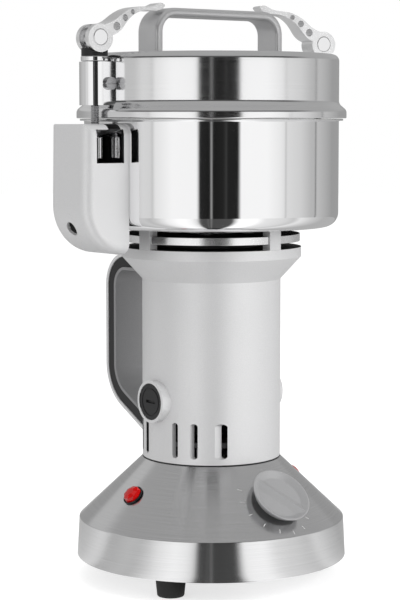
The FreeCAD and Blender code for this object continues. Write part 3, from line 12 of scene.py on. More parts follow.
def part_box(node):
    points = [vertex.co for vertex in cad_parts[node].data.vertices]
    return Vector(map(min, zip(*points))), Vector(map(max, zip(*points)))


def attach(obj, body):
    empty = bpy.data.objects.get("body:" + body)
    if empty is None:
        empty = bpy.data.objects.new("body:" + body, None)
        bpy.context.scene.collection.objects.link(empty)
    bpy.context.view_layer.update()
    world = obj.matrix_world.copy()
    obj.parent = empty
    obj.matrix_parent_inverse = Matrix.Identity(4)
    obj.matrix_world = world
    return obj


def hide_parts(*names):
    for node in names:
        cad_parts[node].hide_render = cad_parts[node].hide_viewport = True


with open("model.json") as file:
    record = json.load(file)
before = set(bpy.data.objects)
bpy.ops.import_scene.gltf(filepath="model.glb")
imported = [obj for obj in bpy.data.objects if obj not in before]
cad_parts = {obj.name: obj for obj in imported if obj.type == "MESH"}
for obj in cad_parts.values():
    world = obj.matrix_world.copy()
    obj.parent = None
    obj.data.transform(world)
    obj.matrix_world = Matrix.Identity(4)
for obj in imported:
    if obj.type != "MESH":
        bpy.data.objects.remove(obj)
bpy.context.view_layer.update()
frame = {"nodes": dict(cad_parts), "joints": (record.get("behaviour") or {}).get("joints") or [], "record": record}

bl_info = {
    "name": "Bench grain mill",
    "version": (1, 0, 0),
    "blender": (4, 5, 0),
    "location": "3D View > Sidebar > Mill",
    "description": "Surfaces and finishes for an upright grain mill with a clamped steel lid",
    "category": "Add Mesh",
}

JOINTS = {joint["name"]: joint for joint in frame["joints"]}
FULL_TURN = 2.0 * math.pi
SHARP = 32.0          # degrees between faces past which an edge is kept sharp
WELD = 2e-6           # points of a surface nearer than this are one point
CAD_WELD = 1e-6       # the same for a CAD node's loose triangles
SAME_PLANE = 0.08     # degrees between faces up to which they are one flat face


# ---------------------------------------------------------------- sizes and colours
def length(name, default, description):
    return bpy.props.FloatProperty(name=name, default=default, description=description,
                                   unit="LENGTH", subtype="DISTANCE", precision=5)


def degrees(name, default, description):
    return bpy.props.FloatProperty(name=name, default=math.radians(default), description=description,
                                   subtype="ANGLE")


def amount(name, default, description):
    return bpy.props.FloatProperty(name=name, default=default, description=description, min=0.0)


def count(name, default, description):
    return bpy.props.IntProperty(name=name, default=default, description=description, min=2)


def colour(name, default, description):
    return bpy.props.FloatVectorProperty(name=name, default=default, description=description,
                                         subtype="COLOR", size=3, min=0.0, max=1.0)


class MillSizes(bpy.types.PropertyGroup):
    """Sizes of the pieces that are modelled here."""
    bowl_radius: length("Bowl radius", 0.0761, "Outer radius of the bowl's and the lid's wall")
    sheet: length("Sheet", 0.0012, "Thickness of the steel sheet")
    bowl_floor: length("Bowl floor", 0.0016, "Thickness of the bowl's floor")
    bowl_round: length("Bowl corner", 0.0085, "Radius of the bowl's lower corner")
    bowl_hole: length("Bowl hole", 0.012, "Radius of the hole for the shaft seal")
    rim_height: length("Rim height", 0.0012, "Height of the bowl's turned-out rim")
    rim_round: length("Rim round", 0.00055, "Rounding of that rim's edges")
    lid_round: length("Lid corner", 0.0040, "Radius of the lid's upper corner")
    bead_height: length("Bead height", 0.0048, "Height of the lid's lower bead")
    bead_slope: length("Bead slope", 0.0037, "Height of the flare above the bead")
    flare_round: length("Flare round", 0.0040, "Radius of the hollow between the lid's wall and its flare")
    bead_round: length("Bead round", 0.0034, "Radius between the lid's flare and its bead")
    base_radius: length("Crease radius", 0.0803, "Radius of the crease between the base's rim and cone")
    crease_height: length("Crease height", 0.0364, "Height of that crease above the bench")
    crease_round: length("Crease round", 0.0009, "Rounding of that crease")
    base_sheet: length("Base sheet", 0.0010, "Thickness of the base's sheet")
    column_radius: length("Column radius", 0.0417, "Outer radius of the motor column")
    cone_opening: length("Cone opening", 0.030, "Radius of the opening in the top of the base")
    # Painted shadow: the dark seam is a thin black ring standing for the shadow line where the column meets the
    # base.
    shadow_ring_height: length("Seam", 0.0008, "Height of the dark seam between the column and the base")
    foot_top: length("Foot top", 0.0093, "Radius of a foot where it meets the base")
    foot_tip: length("Foot tip", 0.0079, "Radius of a foot at the bench")
    foot_recess: length("Foot hollow", 0.0041, "Radius of the hollow in a foot")
    foot_bore: length("Foot bore", 0.00205, "Radius of the screw hole in a foot")
    handle_sheet: length("Lid handle bar", 0.0050, "Thickness of the lid handle's bar")
    handle_round: length("Lid handle corner", 0.014, "Outer corner radius of the lid handle")
    bar_edge: length("Bar edge", 0.0019, "Rounding along the lid handle's edges")
    rod_radius: length("Clamp rod", 0.0025, "Radius of the threaded clamp rods")
    thread_pitch: length("Thread pitch", 0.00125, "Pitch of the clamp rods' thread")
    thread_depth: length("Thread depth", 0.0005, "Depth of that thread")
    thread_end: length("Thread end", 0.0036, "How far below the lever's pin the thread ends")
    eye_radius: length("Rod eye", 0.0046, "Outer radius of the eye at the top of a clamp rod")
    eye_bore: length("Eye bore", 0.00304, "Radius of the hole in that eye")
    eye_width: length("Eye width", 0.0060, "Width of that eye along the lever's pin")
    nut_flutes: count("Nut flutes", 24, "Number of flutes round a clamp nut")
    knob_radius: length("Knob radius", 0.0182, "Radius of the timer knob")
    knob_lift: length("Knob lift", 0.0024, "Gap between the knob and the base")
    knob_height: length("Knob height", 0.0048, "Thickness of the timer knob")
    knob_dish: length("Knob dish", 0.0026, "Depth of the hollow in the knob's face")
    knob_rim: length("Knob rim", 0.0009, "Width of the knob's rim")
    knob_slope: length("Knob slope", 0.0036, "Width of the slope from the knob's rim to its floor")
    knob_undercut: length("Knob undercut", 0.0030, "How far the knob's side draws in below its rim")
    ridge_width: length("Ridge width", 0.0042, "Half the width of the ridge across the knob")
    ridge_turn: degrees("Ridge turn", -52.0, "Direction of that ridge, from the level")
    mark_count: count("Timer marks", 11, "Number of timer marks")
    mark_gap: length("Mark gap", 0.0022, "Distance of the timer marks from the knob")
    mark_length: length("Mark length", 0.0028, "Length of a timer mark")
    mark_width: length("Mark width", 0.00045, "Width of a timer mark")
    first_mark: degrees("First mark", 60.0, "Angle of the first timer mark, from the top of the knob")
    last_mark: degrees("Last mark", 300.0, "Angle of the last timer mark")
    lamp_radius: length("Lens radius", 0.0057, "Radius of the lamp lens")
    lamp_circle: length("Lamp circle", 0.0604, "Distance of the lamps from the mill's axis")
    lamp_turn: degrees("Lamp turn", 3.0, "How far the lamps stand in front of the sides")
    lens_facets: count("Lens facets", 8, "Number of facets round a lens")
    box_round: length("Box corner", 0.028, "Radius of the switch box's lower outer corner")
    access_radius: length("Access hole", 0.0043, "Radius of the hole in that corner")
    access_turn: degrees("Access turn", 28.0, "How far round the corner the hole lies, from the level")
    plate_length: length("Plate length", 0.0104, "Half the length of the plate round that hole")
    plate_width: length("Plate width", 0.0056, "Half the width of that plate")


class MillColours(bpy.types.PropertyGroup):
    """Colours of the finishes."""
    polished: colour("Polished steel", (0.93, 0.93, 0.935), "Bowl and lid")
    brushed: colour("Brushed steel", (0.80, 0.80, 0.805), "Base")
    lacquer: colour("Silver lacquer", (0.76, 0.76, 0.765), "Column, box and side handle")
    satin: colour("Satin aluminium", (0.70, 0.70, 0.705), "Lid handle")
    cast: colour("Cast aluminium", (0.93, 0.93, 0.935), "Clamp levers and deck ring")
    chrome: colour("Chrome", (0.92, 0.92, 0.925), "Clamp blocks, rings, eyes, nuts and pins")
    # The black plastic also serves as painted shade inside the switch box.
    black: colour("Black plastic", (0.009, 0.009, 0.010), "Caps, pads, lamp rings and the handle's core")
    knob: colour("Knob grey", (0.40, 0.40, 0.405), "Timer knob")
    lens: colour("Lens red", (0.52, 0.006, 0.006), "Lamp lenses")
    # The black rubber also serves as painted shade on the deck ring's top and bottom and as the painted shadow
    # ring under the column.
    rubber: colour("Rubber black", (0.012, 0.012, 0.012), "Feet and shaft seal")
    liner: colour("Liner grey", (0.30, 0.30, 0.305), "Inner skin of the side handle")
    # The bowl's underside and the bearing seat are black as painted shade; this colour also paints shade inside
    # the column.
    casting: colour("Casting black", (0.03, 0.03, 0.032), "Bowl's underside, bearing seat and bracket")


class StudioSettings(bpy.types.PropertyGroup):
    """Camera and light."""
    camera_place: bpy.props.FloatVectorProperty(name="Camera", default=(-0.689, -0.8915, 0.2749),
                                                unit="LENGTH", subtype="TRANSLATION",
                                                description="Place of the camera")
    camera_pitch: degrees("Pitch", 5.45, "How far the camera looks down")
    camera_yaw: degrees("Yaw", -37.35, "Turn of the camera about the vertical")
    camera_lens: amount("Lens", 112.4, "Focal length in millimetres")
    dome: length("Dome", 1.25, "Radius of the shell that the metal mirrors")
    roof: amount("Roof", 0.38, "Brightness of the shell's top")
    paper: amount("Paper", 0.62, "Brightness of the floor's paper")
    fill: amount("Fill", 0.72, "Strength of the even light")
    key: amount("Key", 5.5, "Power of the left and the top lamp in watts")
    key_ratio: amount("Key ratio", 4.0, "Power of the right lamp over that of the left one")


def sizes():
    return bpy.context.scene.mill_sizes


def colours():
    return bpy.context.scene.mill_colours


def studio():
    return bpy.context.scene.mill_studio


# ---------------------------------------------------------------- surfaces
def link_new(name, data):
    """A new object for its data, linked to the scene."""
    thing = bpy.data.objects.new(name, data)
    bpy.context.scene.collection.objects.link(thing)
    return thing


def round_angles(steps):
    """Angles at even steps round the circle, without the last, which is the first again."""
    return np.linspace(0.0, FULL_TURN, steps, endpoint=False)


def grid_faces(rows, columns, closed_u, closed_v):
    """Quads (i, j), (i+1, j), (i+1, j+1), (i, j+1) over a grid.

    Where it is closed, its last row or column is joined to the first.
    """
    index = np.arange(rows * columns).reshape(rows, columns)
    if closed_u:
        index = np.vstack([index, index[:1]])
    if closed_v:
        index = np.hstack([index, index[:, :1]])
    return np.stack([index[:-1, :-1], index[1:, :-1], index[1:, 1:], index[:-1, 1:]], axis=-1).reshape(-1, 4)


def grid_mesh(name, grids, closed_u=False, closed_v=True):
    """A mesh of quads through one or more grids of points."""
    mesh = bpy.data.meshes.new(name)
    points = [grid.reshape(-1, 3) for grid in grids]
    starts = np.cumsum([0] + [len(part) for part in points[:-1]])
    faces = [start + grid_faces(*grid.shape[:2], closed_u, closed_v) for start, grid in zip(starts, grids)]
    mesh.from_pydata(np.vstack(points).tolist(), [], np.vstack(faces).tolist())
    return mesh


def surface(name, grids, body, material, closed_u=False, closed_v=True, sharp=SHARP):
    """A piece on its body from grids of points, with its seams and poles welded and its faces outwards."""
    mesh = grid_mesh(name, grids, closed_u, closed_v)
    work = bmesh.new()
    work.from_mesh(mesh)
    bmesh.ops.remove_doubles(work, verts=work.verts, dist=WELD)
    bmesh.ops.dissolve_degenerate(work, edges=work.edges, dist=1e-7)
    bmesh.ops.recalc_face_normals(work, faces=work.faces)
    work.to_mesh(mesh)
    work.free()
    mesh.shade_smooth()
    if sharp:
        mesh.set_sharp_from_angle(angle=math.radians(sharp))
    piece = link_new(name, mesh)
    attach(piece, body)
    cover(piece, material)
    return piece


def rounded(corners, arc_steps=10, run=0.004):
    """A profile through corners (a, b, radius): each corner is an arc tangent to both its sides.

    The arc's centre lies radius / sin(half the corner's angle) from the corner, midway between its
    sides.  Straight stretches are divided so that no part is longer than run.
    """
    corners = [np.array(corner, float) for corner in corners]
    path = [corners[0][:2]]
    for before, corner, after in zip(corners[:-2], corners[1:-1], corners[2:]):
        inward = before[:2] - corner[:2]
        outward = after[:2] - corner[:2]
        inward = inward / np.linalg.norm(inward)
        outward = outward / np.linalg.norm(outward)
        half = math.acos(float(np.clip(inward @ outward, -1.0, 1.0))) / 2.0
        straight = abs(half - math.pi / 2.0) < 1e-3
        if corner[2] <= 0.0 or straight:
            path.append(corner[:2])
            continue
        middle = inward + outward
        middle = middle / np.linalg.norm(middle)
        centre = corner[:2] + middle * corner[2] / math.sin(half)
        sweep = math.pi / 2.0 - half
        side = np.array([-middle[1], middle[0]])
        sign = 1.0 if side @ inward > 0 else -1.0
        for angle in np.linspace(sweep, -sweep, arc_steps):
            path.append(centre - corner[2] * (middle * math.cos(angle) - side * sign * math.sin(angle)))
    path.append(corners[-1][:2])
    fine = [path[0]]
    for start, end in zip(path[:-1], path[1:]):
        parts = max(1, int(math.ceil(np.linalg.norm(end - start) / run)))
        fine.extend(start + (end - start) * k / parts for k in range(1, parts + 1))
    return np.array(fine)


def axis_frame(place, axis):
    """A matrix whose Z runs along axis and whose origin is at place."""
    turn = Vector(axis).normalized().to_track_quat("Z", "Y")
    return Matrix.Translation(Vector(place)) @ turn.to_matrix().to_4x4()


def carried(points, matrix):
    """The points, a grid of (x, y, z), carried by a 4x4 matrix."""
    m = np.array(matrix)
    return points @ m[:3, :3].T + m[:3, 3]


def turned(profile, segments=192):
    """A surface of revolution about Z: (r, h) goes to (r cos t, r sin t, h) for t round the circle."""
    t = round_angles(segments)
    r = profile[:, 0][:, None]
    h = profile[:, 1][:, None]
    return np.stack([r * np.cos(t), r * np.sin(t), h + 0.0 * t], axis=-1)


def lathe(name, corners, body, slot, material, place=None, segments=192, closed=True, **options):
    """A turned piece from rounded (radius, height, round) corners, closed into a ring section if asked."""
    points = turned(rounded(corners, **options), segments)
    if place is not None:
        points = carried(points, place)
    return surface(name, [points], body, material, closed_u=closed)


def softened(node, width, material):
    """A copy of a CAD node with its loose triangles joined and its edges rounded, which takes its place."""
    mesh = frame["nodes"][node].data.copy()
    mesh.name = node + "_soft"
    work = bmesh.new()
    work.from_mesh(mesh)
    bmesh.ops.remove_doubles(work, verts=work.verts, dist=CAD_WELD)
    bmesh.ops.dissolve_limit(work, angle_limit=math.radians(SAME_PLANE), verts=work.verts, edges=work.edges)
    work.to_mesh(mesh)
    work.free()
    mesh.shade_smooth()
    piece = link_new(mesh.name, mesh)
    bevel = piece.modifiers.new("edge_round", "BEVEL")
    bevel.width = width
    bevel.segments = 3
    bevel.limit_method = "ANGLE"
    bevel.angle_limit = math.radians(SHARP)
    bevel.miter_outer = "MITER_ARC"
    normals = piece.modifiers.new("even_normals", "WEIGHTED_NORMAL")
    normals.weight = 100
    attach(piece, body_of_node(node))
    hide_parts(node)
    cover(piece, material)
    return piece


def body_of_node(node):
    for body, nodes in frame["record"]["behaviour"]["bodies"].items():
        if node in nodes:
            return body
    raise ValueError(node)


def cover(piece, material):
    """Puts one finish on every slot of a piece."""
    if not piece.material_slots:
        piece.data.materials.append(material)
    for slot in piece.material_slots:
        slot.material = material


def dress(material, *nodes):
    """Puts a finish on CAD nodes whose shape is right as it is."""
    for node in nodes:
        cover(frame["nodes"][node], material)


def face_values(piece, what):
    """Each face's center or normal, one row of three numbers a face, in the piece's own axes."""
    values = np.empty(len(piece.data.polygons) * 3)
    piece.data.polygons.foreach_get(what, values)
    return values.reshape(-1, 3)


def second_finish(piece, material, faces):
    """Puts a finish on the faces that a row of truth values picks."""
    piece.data.materials.append(material)
    index = np.where(faces, len(piece.data.materials) - 1, 0)
    piece.data.polygons.foreach_set("material_index", index.astype(np.int32))
    piece.data.update()


def shade_inside(piece, material, weights, shelf=math.inf, inward=-0.2, level=0.9):
    """Puts a dark finish, as painted shade, on the faces that look towards the middle of a piece's box.

    Such a face's normal, times the unit vector to it from the middle, is less than inward.  Weights
    of (1, 1, 0) look only at the distance from the upright line through the middle.  Level faces
    that lie above the height shelf get the finish too.
    """
    place = np.array(piece.matrix_world)
    centre = face_values(piece, "center") @ place[:3, :3].T + place[:3, 3]
    normal = face_values(piece, "normal") @ place[:3, :3].T
    away = (centre - (centre.min(axis=0) + centre.max(axis=0)) / 2) * weights
    inside = (away * normal).sum(axis=1) < inward * np.linalg.norm(away, axis=1)
    second_finish(piece, material, inside | ((normal[:, 2] > level) & (centre[:, 2] > shelf)))


# ---------------------------------------------------------------- shader nodes and groups
def add_node(tree, kind, inputs=None, **settings):
    """A new node with its settings; each of its inputs gets a value, or a link from another node's socket."""
    node = tree.nodes.new(kind)
    for label, value in settings.items():
        setattr(node, label, value)
    for label, value in (inputs or {}).items():
        if isinstance(value, bpy.types.NodeSocket):
            tree.links.new(value, node.inputs[label])
        else:
            node.inputs[label].default_value = value
    return node


def math_node(tree, operation, *values):
    return add_node(tree, "ShaderNodeMath", dict(enumerate(values)), operation=operation).outputs[0]


def noise(tree, vector, scale, detail, roughness):
    node = add_node(tree, "ShaderNodeTexNoise", {"Vector": vector, "Scale": scale, "Detail": detail,
                                                 "Roughness": roughness})
    return node.outputs["Fac"]


def ranged(tree, value, start, end, low=0.0, high=1.0):
    """Goes from low to high while the value goes from start to end."""
    node = add_node(tree, "ShaderNodeMapRange", {"Value": value, "From Min": start, "From Max": end,
                                                 "To Min": low, "To Max": high})
    return node.outputs["Result"]


def mixed(tree, factor, a, b):
    """Colour a where the factor is 0, colour b where it is 1."""
    node = add_node(tree, "ShaderNodeMix", {"Factor": factor, "A": a, "B": b}, data_type="RGBA")
    return node.outputs["Result"]


def grey(value):
    return (value, value, value, 1.0)


def new_group(name, inputs, outputs):
    """A shader node group with named sockets; returns the group, its input node and its output node."""
    group = bpy.data.node_groups.new(name, "ShaderNodeTree")
    for label, kind, default in inputs:
        socket = group.interface.new_socket(name=label, in_out="INPUT", socket_type=kind)
        socket.default_value = default
    for label, kind in outputs:
        group.interface.new_socket(name=label, in_out="OUTPUT", socket_type=kind)
    start = group.nodes.new("NodeGroupInput")
    end = group.nodes.new("NodeGroupOutput")
    return group, start, end


@cache
def turning_lines_group():
    """Fine lines that run round the Z axis, as a lathe or a rotary brush leaves them.

    The pattern is noise over (radius, angle, height) with the angle stretched out, so a line keeps
    its height and radius while it goes round.
    """
    group, start, end = new_group(
        "turning_lines",
        [("Vector", "NodeSocketVector", (0, 0, 0)), ("Fineness", "NodeSocketFloat", 9000.0)],
        [("Lines", "NodeSocketFloat"), ("Patches", "NodeSocketFloat")])
    x, y, z = add_node(group, "ShaderNodeSeparateXYZ", {0: start.outputs["Vector"]}).outputs
    radius = math_node(group, "SQRT", math_node(group, "ADD", math_node(group, "MULTIPLY", x, x),
                                                math_node(group, "MULTIPLY", y, y)))
    angle = math_node(group, "ARCTAN2", y, x)
    stretched = math_node(group, "MULTIPLY", angle, 0.00045)
    place = add_node(group, "ShaderNodeCombineXYZ", {0: radius, 1: stretched, 2: z}).outputs[0]
    group.links.new(noise(group, place, start.outputs["Fineness"], 3.0, 0.6), end.inputs["Lines"])
    group.links.new(noise(group, start.outputs["Vector"], 26.0, 3.0, 0.55), end.inputs["Patches"])
    return group


@cache
def straight_lines_group():
    """Fine lines along X or Z for bars and plates: noise whose long axis is set by the stretch."""
    group, start, end = new_group(
        "straight_lines",
        [("Vector", "NodeSocketVector", (0, 0, 0)), ("Stretch", "NodeSocketVector", (0.03, 1.0, 1.0)),
         ("Fineness", "NodeSocketFloat", 7000.0)],
        [("Lines", "NodeSocketFloat")])
    place = add_node(group, "ShaderNodeVectorMath", {0: start.outputs["Vector"], 1: start.outputs["Stretch"]},
                     operation="MULTIPLY").outputs[0]
    group.links.new(noise(group, place, start.outputs["Fineness"], 3.0, 0.6), end.inputs["Lines"])
    return group


@cache
def grain_group():
    """Fine grain with slow patches: a quick noise for the grain, a slow one for handling marks."""
    group, start, end = new_group(
        "grain",
        [("Vector", "NodeSocketVector", (0, 0, 0)), ("Grain size", "NodeSocketFloat", 0.0004)],
        [("Grain", "NodeSocketFloat"), ("Marks", "NodeSocketFloat")])
    scale = math_node(group, "DIVIDE", 1.0, start.outputs["Grain size"])
    group.links.new(noise(group, start.outputs["Vector"], scale, 2.0, 0.5), end.inputs["Grain"])
    group.links.new(noise(group, start.outputs["Vector"], 38.0, 5.0, 0.62), end.inputs["Marks"])
    return group


def turning_lines(fineness):
    return turning_lines_group(), {"Fineness": fineness}


def straight_lines(fineness, *stretch):
    return straight_lines_group(), {"Fineness": fineness, "Stretch": stretch}


def grain(size):
    return grain_group(), {"Grain size": size}


# ---------------------------------------------------------------- finishes
NOISE_START = 0.3     # the noise groups' outputs lie mostly between these two values
NOISE_END = 0.7


def new_material(name):
    material = bpy.data.materials.new(name)
    material.use_nodes = True
    return material, material.node_tree


def finish(name, base, metallic, roughness, pattern, tint=None, gloss=None, bump=None, sockets=None):
    """A Principled material whose colour, roughness and bump follow the outputs of one pattern group.

    The pattern is a group and its values.  tint is (output, share): the base colour goes from
    1 - share to 1 + share times itself.  gloss is (output, step): the roughness goes that much down
    and up.  bump is (output, depth in metres, strength).  Other sockets have plain values.
    """
    material, tree = new_material(name)
    shader = tree.nodes["Principled BSDF"]
    plain = {"Base Color": (*base, 1.0), "Metallic": metallic, "Roughness": roughness, **(sockets or {})}
    for label, value in plain.items():
        shader.inputs[label].default_value = value
    place = add_node(tree, "ShaderNodeTexCoord").outputs["Object"]
    group, values = pattern
    lines = add_node(tree, "ShaderNodeGroup", {"Vector": place, **values}, node_tree=group)
    if tint:
        output, share = tint
        dark = [channel * (1.0 - share) for channel in base]
        light = [min(1.0, channel * (1.0 + share)) for channel in base]
        factor = ranged(tree, lines.outputs[output], NOISE_START, NOISE_END)
        tree.links.new(mixed(tree, factor, (*dark, 1.0), (*light, 1.0)), shader.inputs["Base Color"])
    if gloss:
        output, step = gloss
        low, high = roughness - step, roughness + step
        varied = ranged(tree, lines.outputs[output], NOISE_START, NOISE_END, low, high)
        tree.links.new(varied, shader.inputs["Roughness"])
    if bump:
        output, depth, strength = bump
        normal = add_node(tree, "ShaderNodeBump", {"Height": lines.outputs[output], "Strength": strength,
                                                   "Distance": depth}).outputs["Normal"]
        tree.links.new(normal, shader.inputs["Normal"])
    return material


@cache
def polished_steel():
    """Mirror-polished sheet: almost clear reflections, with faint buffing lines round the axis."""
    return finish("polished_steel", colours().polished, 1.0, 0.055, turning_lines(5200.0),
                  gloss=("Patches", 0.02), bump=("Lines", 0.0000012, 0.5))


@cache
def buffed_steel():
    """The lid's sheet, buffed rather than polished, so its lines show in the bright areas."""
    return finish("buffed_steel", colours().polished, 1.0, 0.13, turning_lines(3600.0),
                  tint=("Lines", 0.03), gloss=("Lines", 0.04), bump=("Lines", 0.000003, 0.6))


@cache
def brushed_steel():
    """Rotary-brushed sheet, whose reflections are drawn out across its lines."""
    material = finish("brushed_steel", colours().brushed, 1.0, 0.17, turning_lines(3000.0),
                      tint=("Lines", 0.05), gloss=("Lines", 0.04), bump=("Lines", 0.000004, 0.5),
                      sockets={"Anisotropic": 0.85, "Anisotropic Rotation": 0.25})
    tree = material.node_tree
    tangent = add_node(tree, "ShaderNodeTangent", direction_type="RADIAL", axis="Z")
    tree.links.new(tangent.outputs[0], tree.nodes["Principled BSDF"].inputs["Tangent"])
    return material


@cache
def silver_lacquer():
    """Satin silver lacquer: metal flakes under a thin clear coat."""
    return finish("silver_lacquer", colours().lacquer, 0.5, 0.48, grain(0.00035),
                  tint=("Grain", 0.05), gloss=("Marks", 0.035), bump=("Grain", 0.000012, 0.6),
                  sockets={"Coat Weight": 0.12, "Coat Roughness": 0.3})


@cache
def dark_lacquer():
    """Satin grey lacquer on the inner skin of the side handle."""
    return finish("dark_lacquer", colours().liner, 0.4, 0.45, grain(0.00035),
                  tint=("Grain", 0.06), gloss=("Marks", 0.04), bump=("Grain", 0.000012, 0.6))


@cache
def black_casting_and_shade():
    """Die casting painted black, with a coarse skin; also painted shade on the bowl's underside, the bearing seat
    and inside the column.
    """
    return finish("black_casting_and_shade", colours().casting, 0.0, 0.6, grain(0.0009),
                  tint=("Grain", 0.3), bump=("Grain", 0.00004, 0.6))


@cache
def satin_aluminium():
    """Bead-blasted aluminium bar."""
    return finish("satin_aluminium", colours().satin, 0.85, 0.34, grain(0.0003),
                  tint=("Grain", 0.05), gloss=("Marks", 0.04), bump=("Grain", 0.000015, 0.6))


@cache
def cast_aluminium():
    """Tumbled bright castings."""
    return finish("cast_aluminium", colours().cast, 0.9, 0.22, grain(0.0008),
                  gloss=("Marks", 0.06), bump=("Grain", 0.00002, 0.35))


@cache
def chrome():
    """Bright plating with faint handling marks."""
    return finish("chrome", colours().chrome, 1.0, 0.05, grain(0.003), gloss=("Marks", 0.025))


@cache
def plain_steel():
    """Machined steel for screws, blades, shafts and plates."""
    return finish("plain_steel", (0.52, 0.52, 0.53), 1.0, 0.30, straight_lines(4200.0, 0.06, 1.0, 1.0),
                  tint=("Lines", 0.08), gloss=("Lines", 0.07), bump=("Lines", 0.000006, 0.6))


@cache
def black_plastic():
    """Moulded black plastic with a fine spark grain; also painted shade inside the switch box."""
    return finish("black_plastic", colours().black, 0.0, 0.42, grain(0.00028),
                  tint=("Marks", 0.25), gloss=("Marks", 0.05), bump=("Grain", 0.00002, 0.5))


@cache
def grey_plastic():
    """Satin silver-grey moulding of the timer knob."""
    return finish("grey_plastic", colours().knob, 0.35, 0.44, grain(0.0003),
                  tint=("Grain", 0.04), gloss=("Marks", 0.04), bump=("Grain", 0.00001, 0.5))


@cache
def tick_paint():
    """Pale printed marks, a little worn."""
    return finish("tick_paint", (0.62, 0.62, 0.62), 0.0, 0.5, grain(0.0005), tint=("Grain", 0.12))


@cache
def red_lens():
    """Glossy red moulding, a little uneven in colour."""
    return finish("red_lens", colours().lens, 0.0, 0.06, grain(0.002), tint=("Marks", 0.22),
                  sockets={"Coat Weight": 0.25, "Coat Roughness": 0.03})


@cache
def black_rubber():
    """Matt moulded rubber, which also serves as painted shade on the deck ring and as the painted shadow ring
    under the column.
    """
    return finish("black_rubber", colours().rubber, 0.0, 0.72, grain(0.0005),
                  tint=("Marks", 0.35), bump=("Grain", 0.00005, 0.5))


@cache
def white_rubber():
    """Pale silicone."""
    return finish("white_rubber", (0.72, 0.72, 0.70), 0.0, 0.55, grain(0.001), tint=("Marks", 0.06),
                  sockets={"Subsurface Weight": 0.05})


@cache
def copper():
    """Enamelled winding wire: rows of strands across the block."""
    return finish("copper", (0.62, 0.24, 0.10), 0.9, 0.28, straight_lines(900.0, 0.12, 1.0, 1.6),
                  tint=("Lines", 0.3), bump=("Lines", 0.0002, 0.8))


@cache
def brass():
    """Drawn brass tube."""
    return finish("brass", (0.76, 0.56, 0.24), 1.0, 0.25, straight_lines(3800.0, 0.05, 1.0, 1.0),
                  gloss=("Lines", 0.06), bump=("Lines", 0.000006, 0.5))


@cache
def laminations():
    """Stacked electrical sheet: level lines, each sheet a little darker or lighter."""
    return finish("laminations", (0.16, 0.16, 0.165), 0.85, 0.42, straight_lines(1800.0, 0.01, 0.01, 1.0),
                  tint=("Lines", 0.4), bump=("Lines", 0.00008, 0.8))


@cache
def carbon():
    """Pressed graphite blocks."""
    return finish("carbon", (0.05, 0.05, 0.055), 0.3, 0.55, grain(0.0006),
                  tint=("Grain", 0.4), bump=("Grain", 0.00003, 0.6))


# ---------------------------------------------------------------- pieces
class MILL_OT_lid(bpy.types.Operator):
    """Makes the lid: a turned sheet with a soft upper corner, a hollow flare and a rolled bead."""
    bl_idname = "mill.lid"
    bl_label = "Lid"

    def execute(self, context):
        s = sizes()
        low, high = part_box("lid_shell")
        bead = high.x
        slope = low.z + s.bead_height
        wall = slope + s.bead_slope
        sheet = s.sheet
        drop = sheet * 0.4      # how far the inner corners of the flare lie below its outer ones
        edge = 0.0005
        r = s.bowl_radius
        corners = [
            (0.0, high.z, 0.0), (r, high.z, s.lid_round), (r, wall, s.flare_round),
            (bead, slope, s.bead_round), (bead, low.z, edge),
            (bead - sheet, low.z, edge), (bead - sheet, slope - drop, s.bead_round - sheet),
            (r - sheet, wall - drop, s.flare_round + sheet), (r - sheet, high.z - sheet, s.lid_round - sheet),
            (0.0, high.z - sheet, 0.0),
        ]
        lid = lathe("lid", corners, "lid", "polished_steel", buffed_steel(), segments=256, closed=False,
                    arc_steps=14)
        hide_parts("lid_shell")
        dress(white_rubber(), "lid_gasket")
        return {"FINISHED"}


class MILL_OT_bowl(bpy.types.Operator):
    """Makes the bowl: a deep drawn cup with a rounded lower corner, a turned-out rim and an underside in black as
    painted shade.
    """
    bl_idname = "mill.bowl"
    bl_label = "Bowl"

    def execute(self, context):
        s = sizes()
        low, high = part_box("bowl")
        rim = high.x
        under_rim = high.z - s.rim_height
        r = s.bowl_radius
        inner = r - s.sheet
        floor = low.z + s.bowl_floor
        corners = [
            (s.bowl_hole, low.z, 0.0), (r, low.z, s.bowl_round), (r, under_rim, 0.0006),
            (rim, under_rim, s.rim_round), (rim, high.z, s.rim_round), (inner, high.z, 0.0010),
            (inner, floor, s.bowl_round - s.sheet), (s.bowl_hole, floor, 0.0),
        ]
        bowl = lathe("bowl_shell", corners, "machine", "polished_steel", polished_steel(), segments=256,
                     arc_steps=16)
        # Painted shade: the bowl's underside is black so that the gap under the bowl mirrors dark.
        second_finish(bowl, black_casting_and_shade(), face_values(bowl, "center")[:, 2] < low.z + 0.0001)
        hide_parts("bowl")
        return {"FINISHED"}


class MILL_OT_base(bpy.types.Operator):
    """Makes the base: an upright rim, a softly rounded crease and a cone up to the column."""
    bl_idname = "mill.base"
    bl_label = "Base"

    def execute(self, context):
        s = sizes()
        low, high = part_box("base_shell")
        foot = high.x
        sheet = s.base_sheet
        drop = sheet * 0.4      # how far the inner corners of the cone lie inside its outer ones
        corners = [
            (foot - sheet, low.z, 0.0), (foot, low.z, 0.0004),
            (s.base_radius, s.crease_height, s.crease_round),
            (s.column_radius, high.z, 0.0008), (s.cone_opening, high.z, 0.0),
            (s.cone_opening, high.z - sheet, 0.0), (s.column_radius - drop, high.z - sheet, 0.0003),
            (s.base_radius - sheet, s.crease_height - drop, s.crease_round - sheet),
        ]
        shell = lathe("base_cover", corners, "machine", "brushed_base", brushed_steel(), segments=256,
                      arc_steps=12)
        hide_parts("base_shell")
        dress(plain_steel(), "base_plate", "foot_screws")
        return {"FINISHED"}


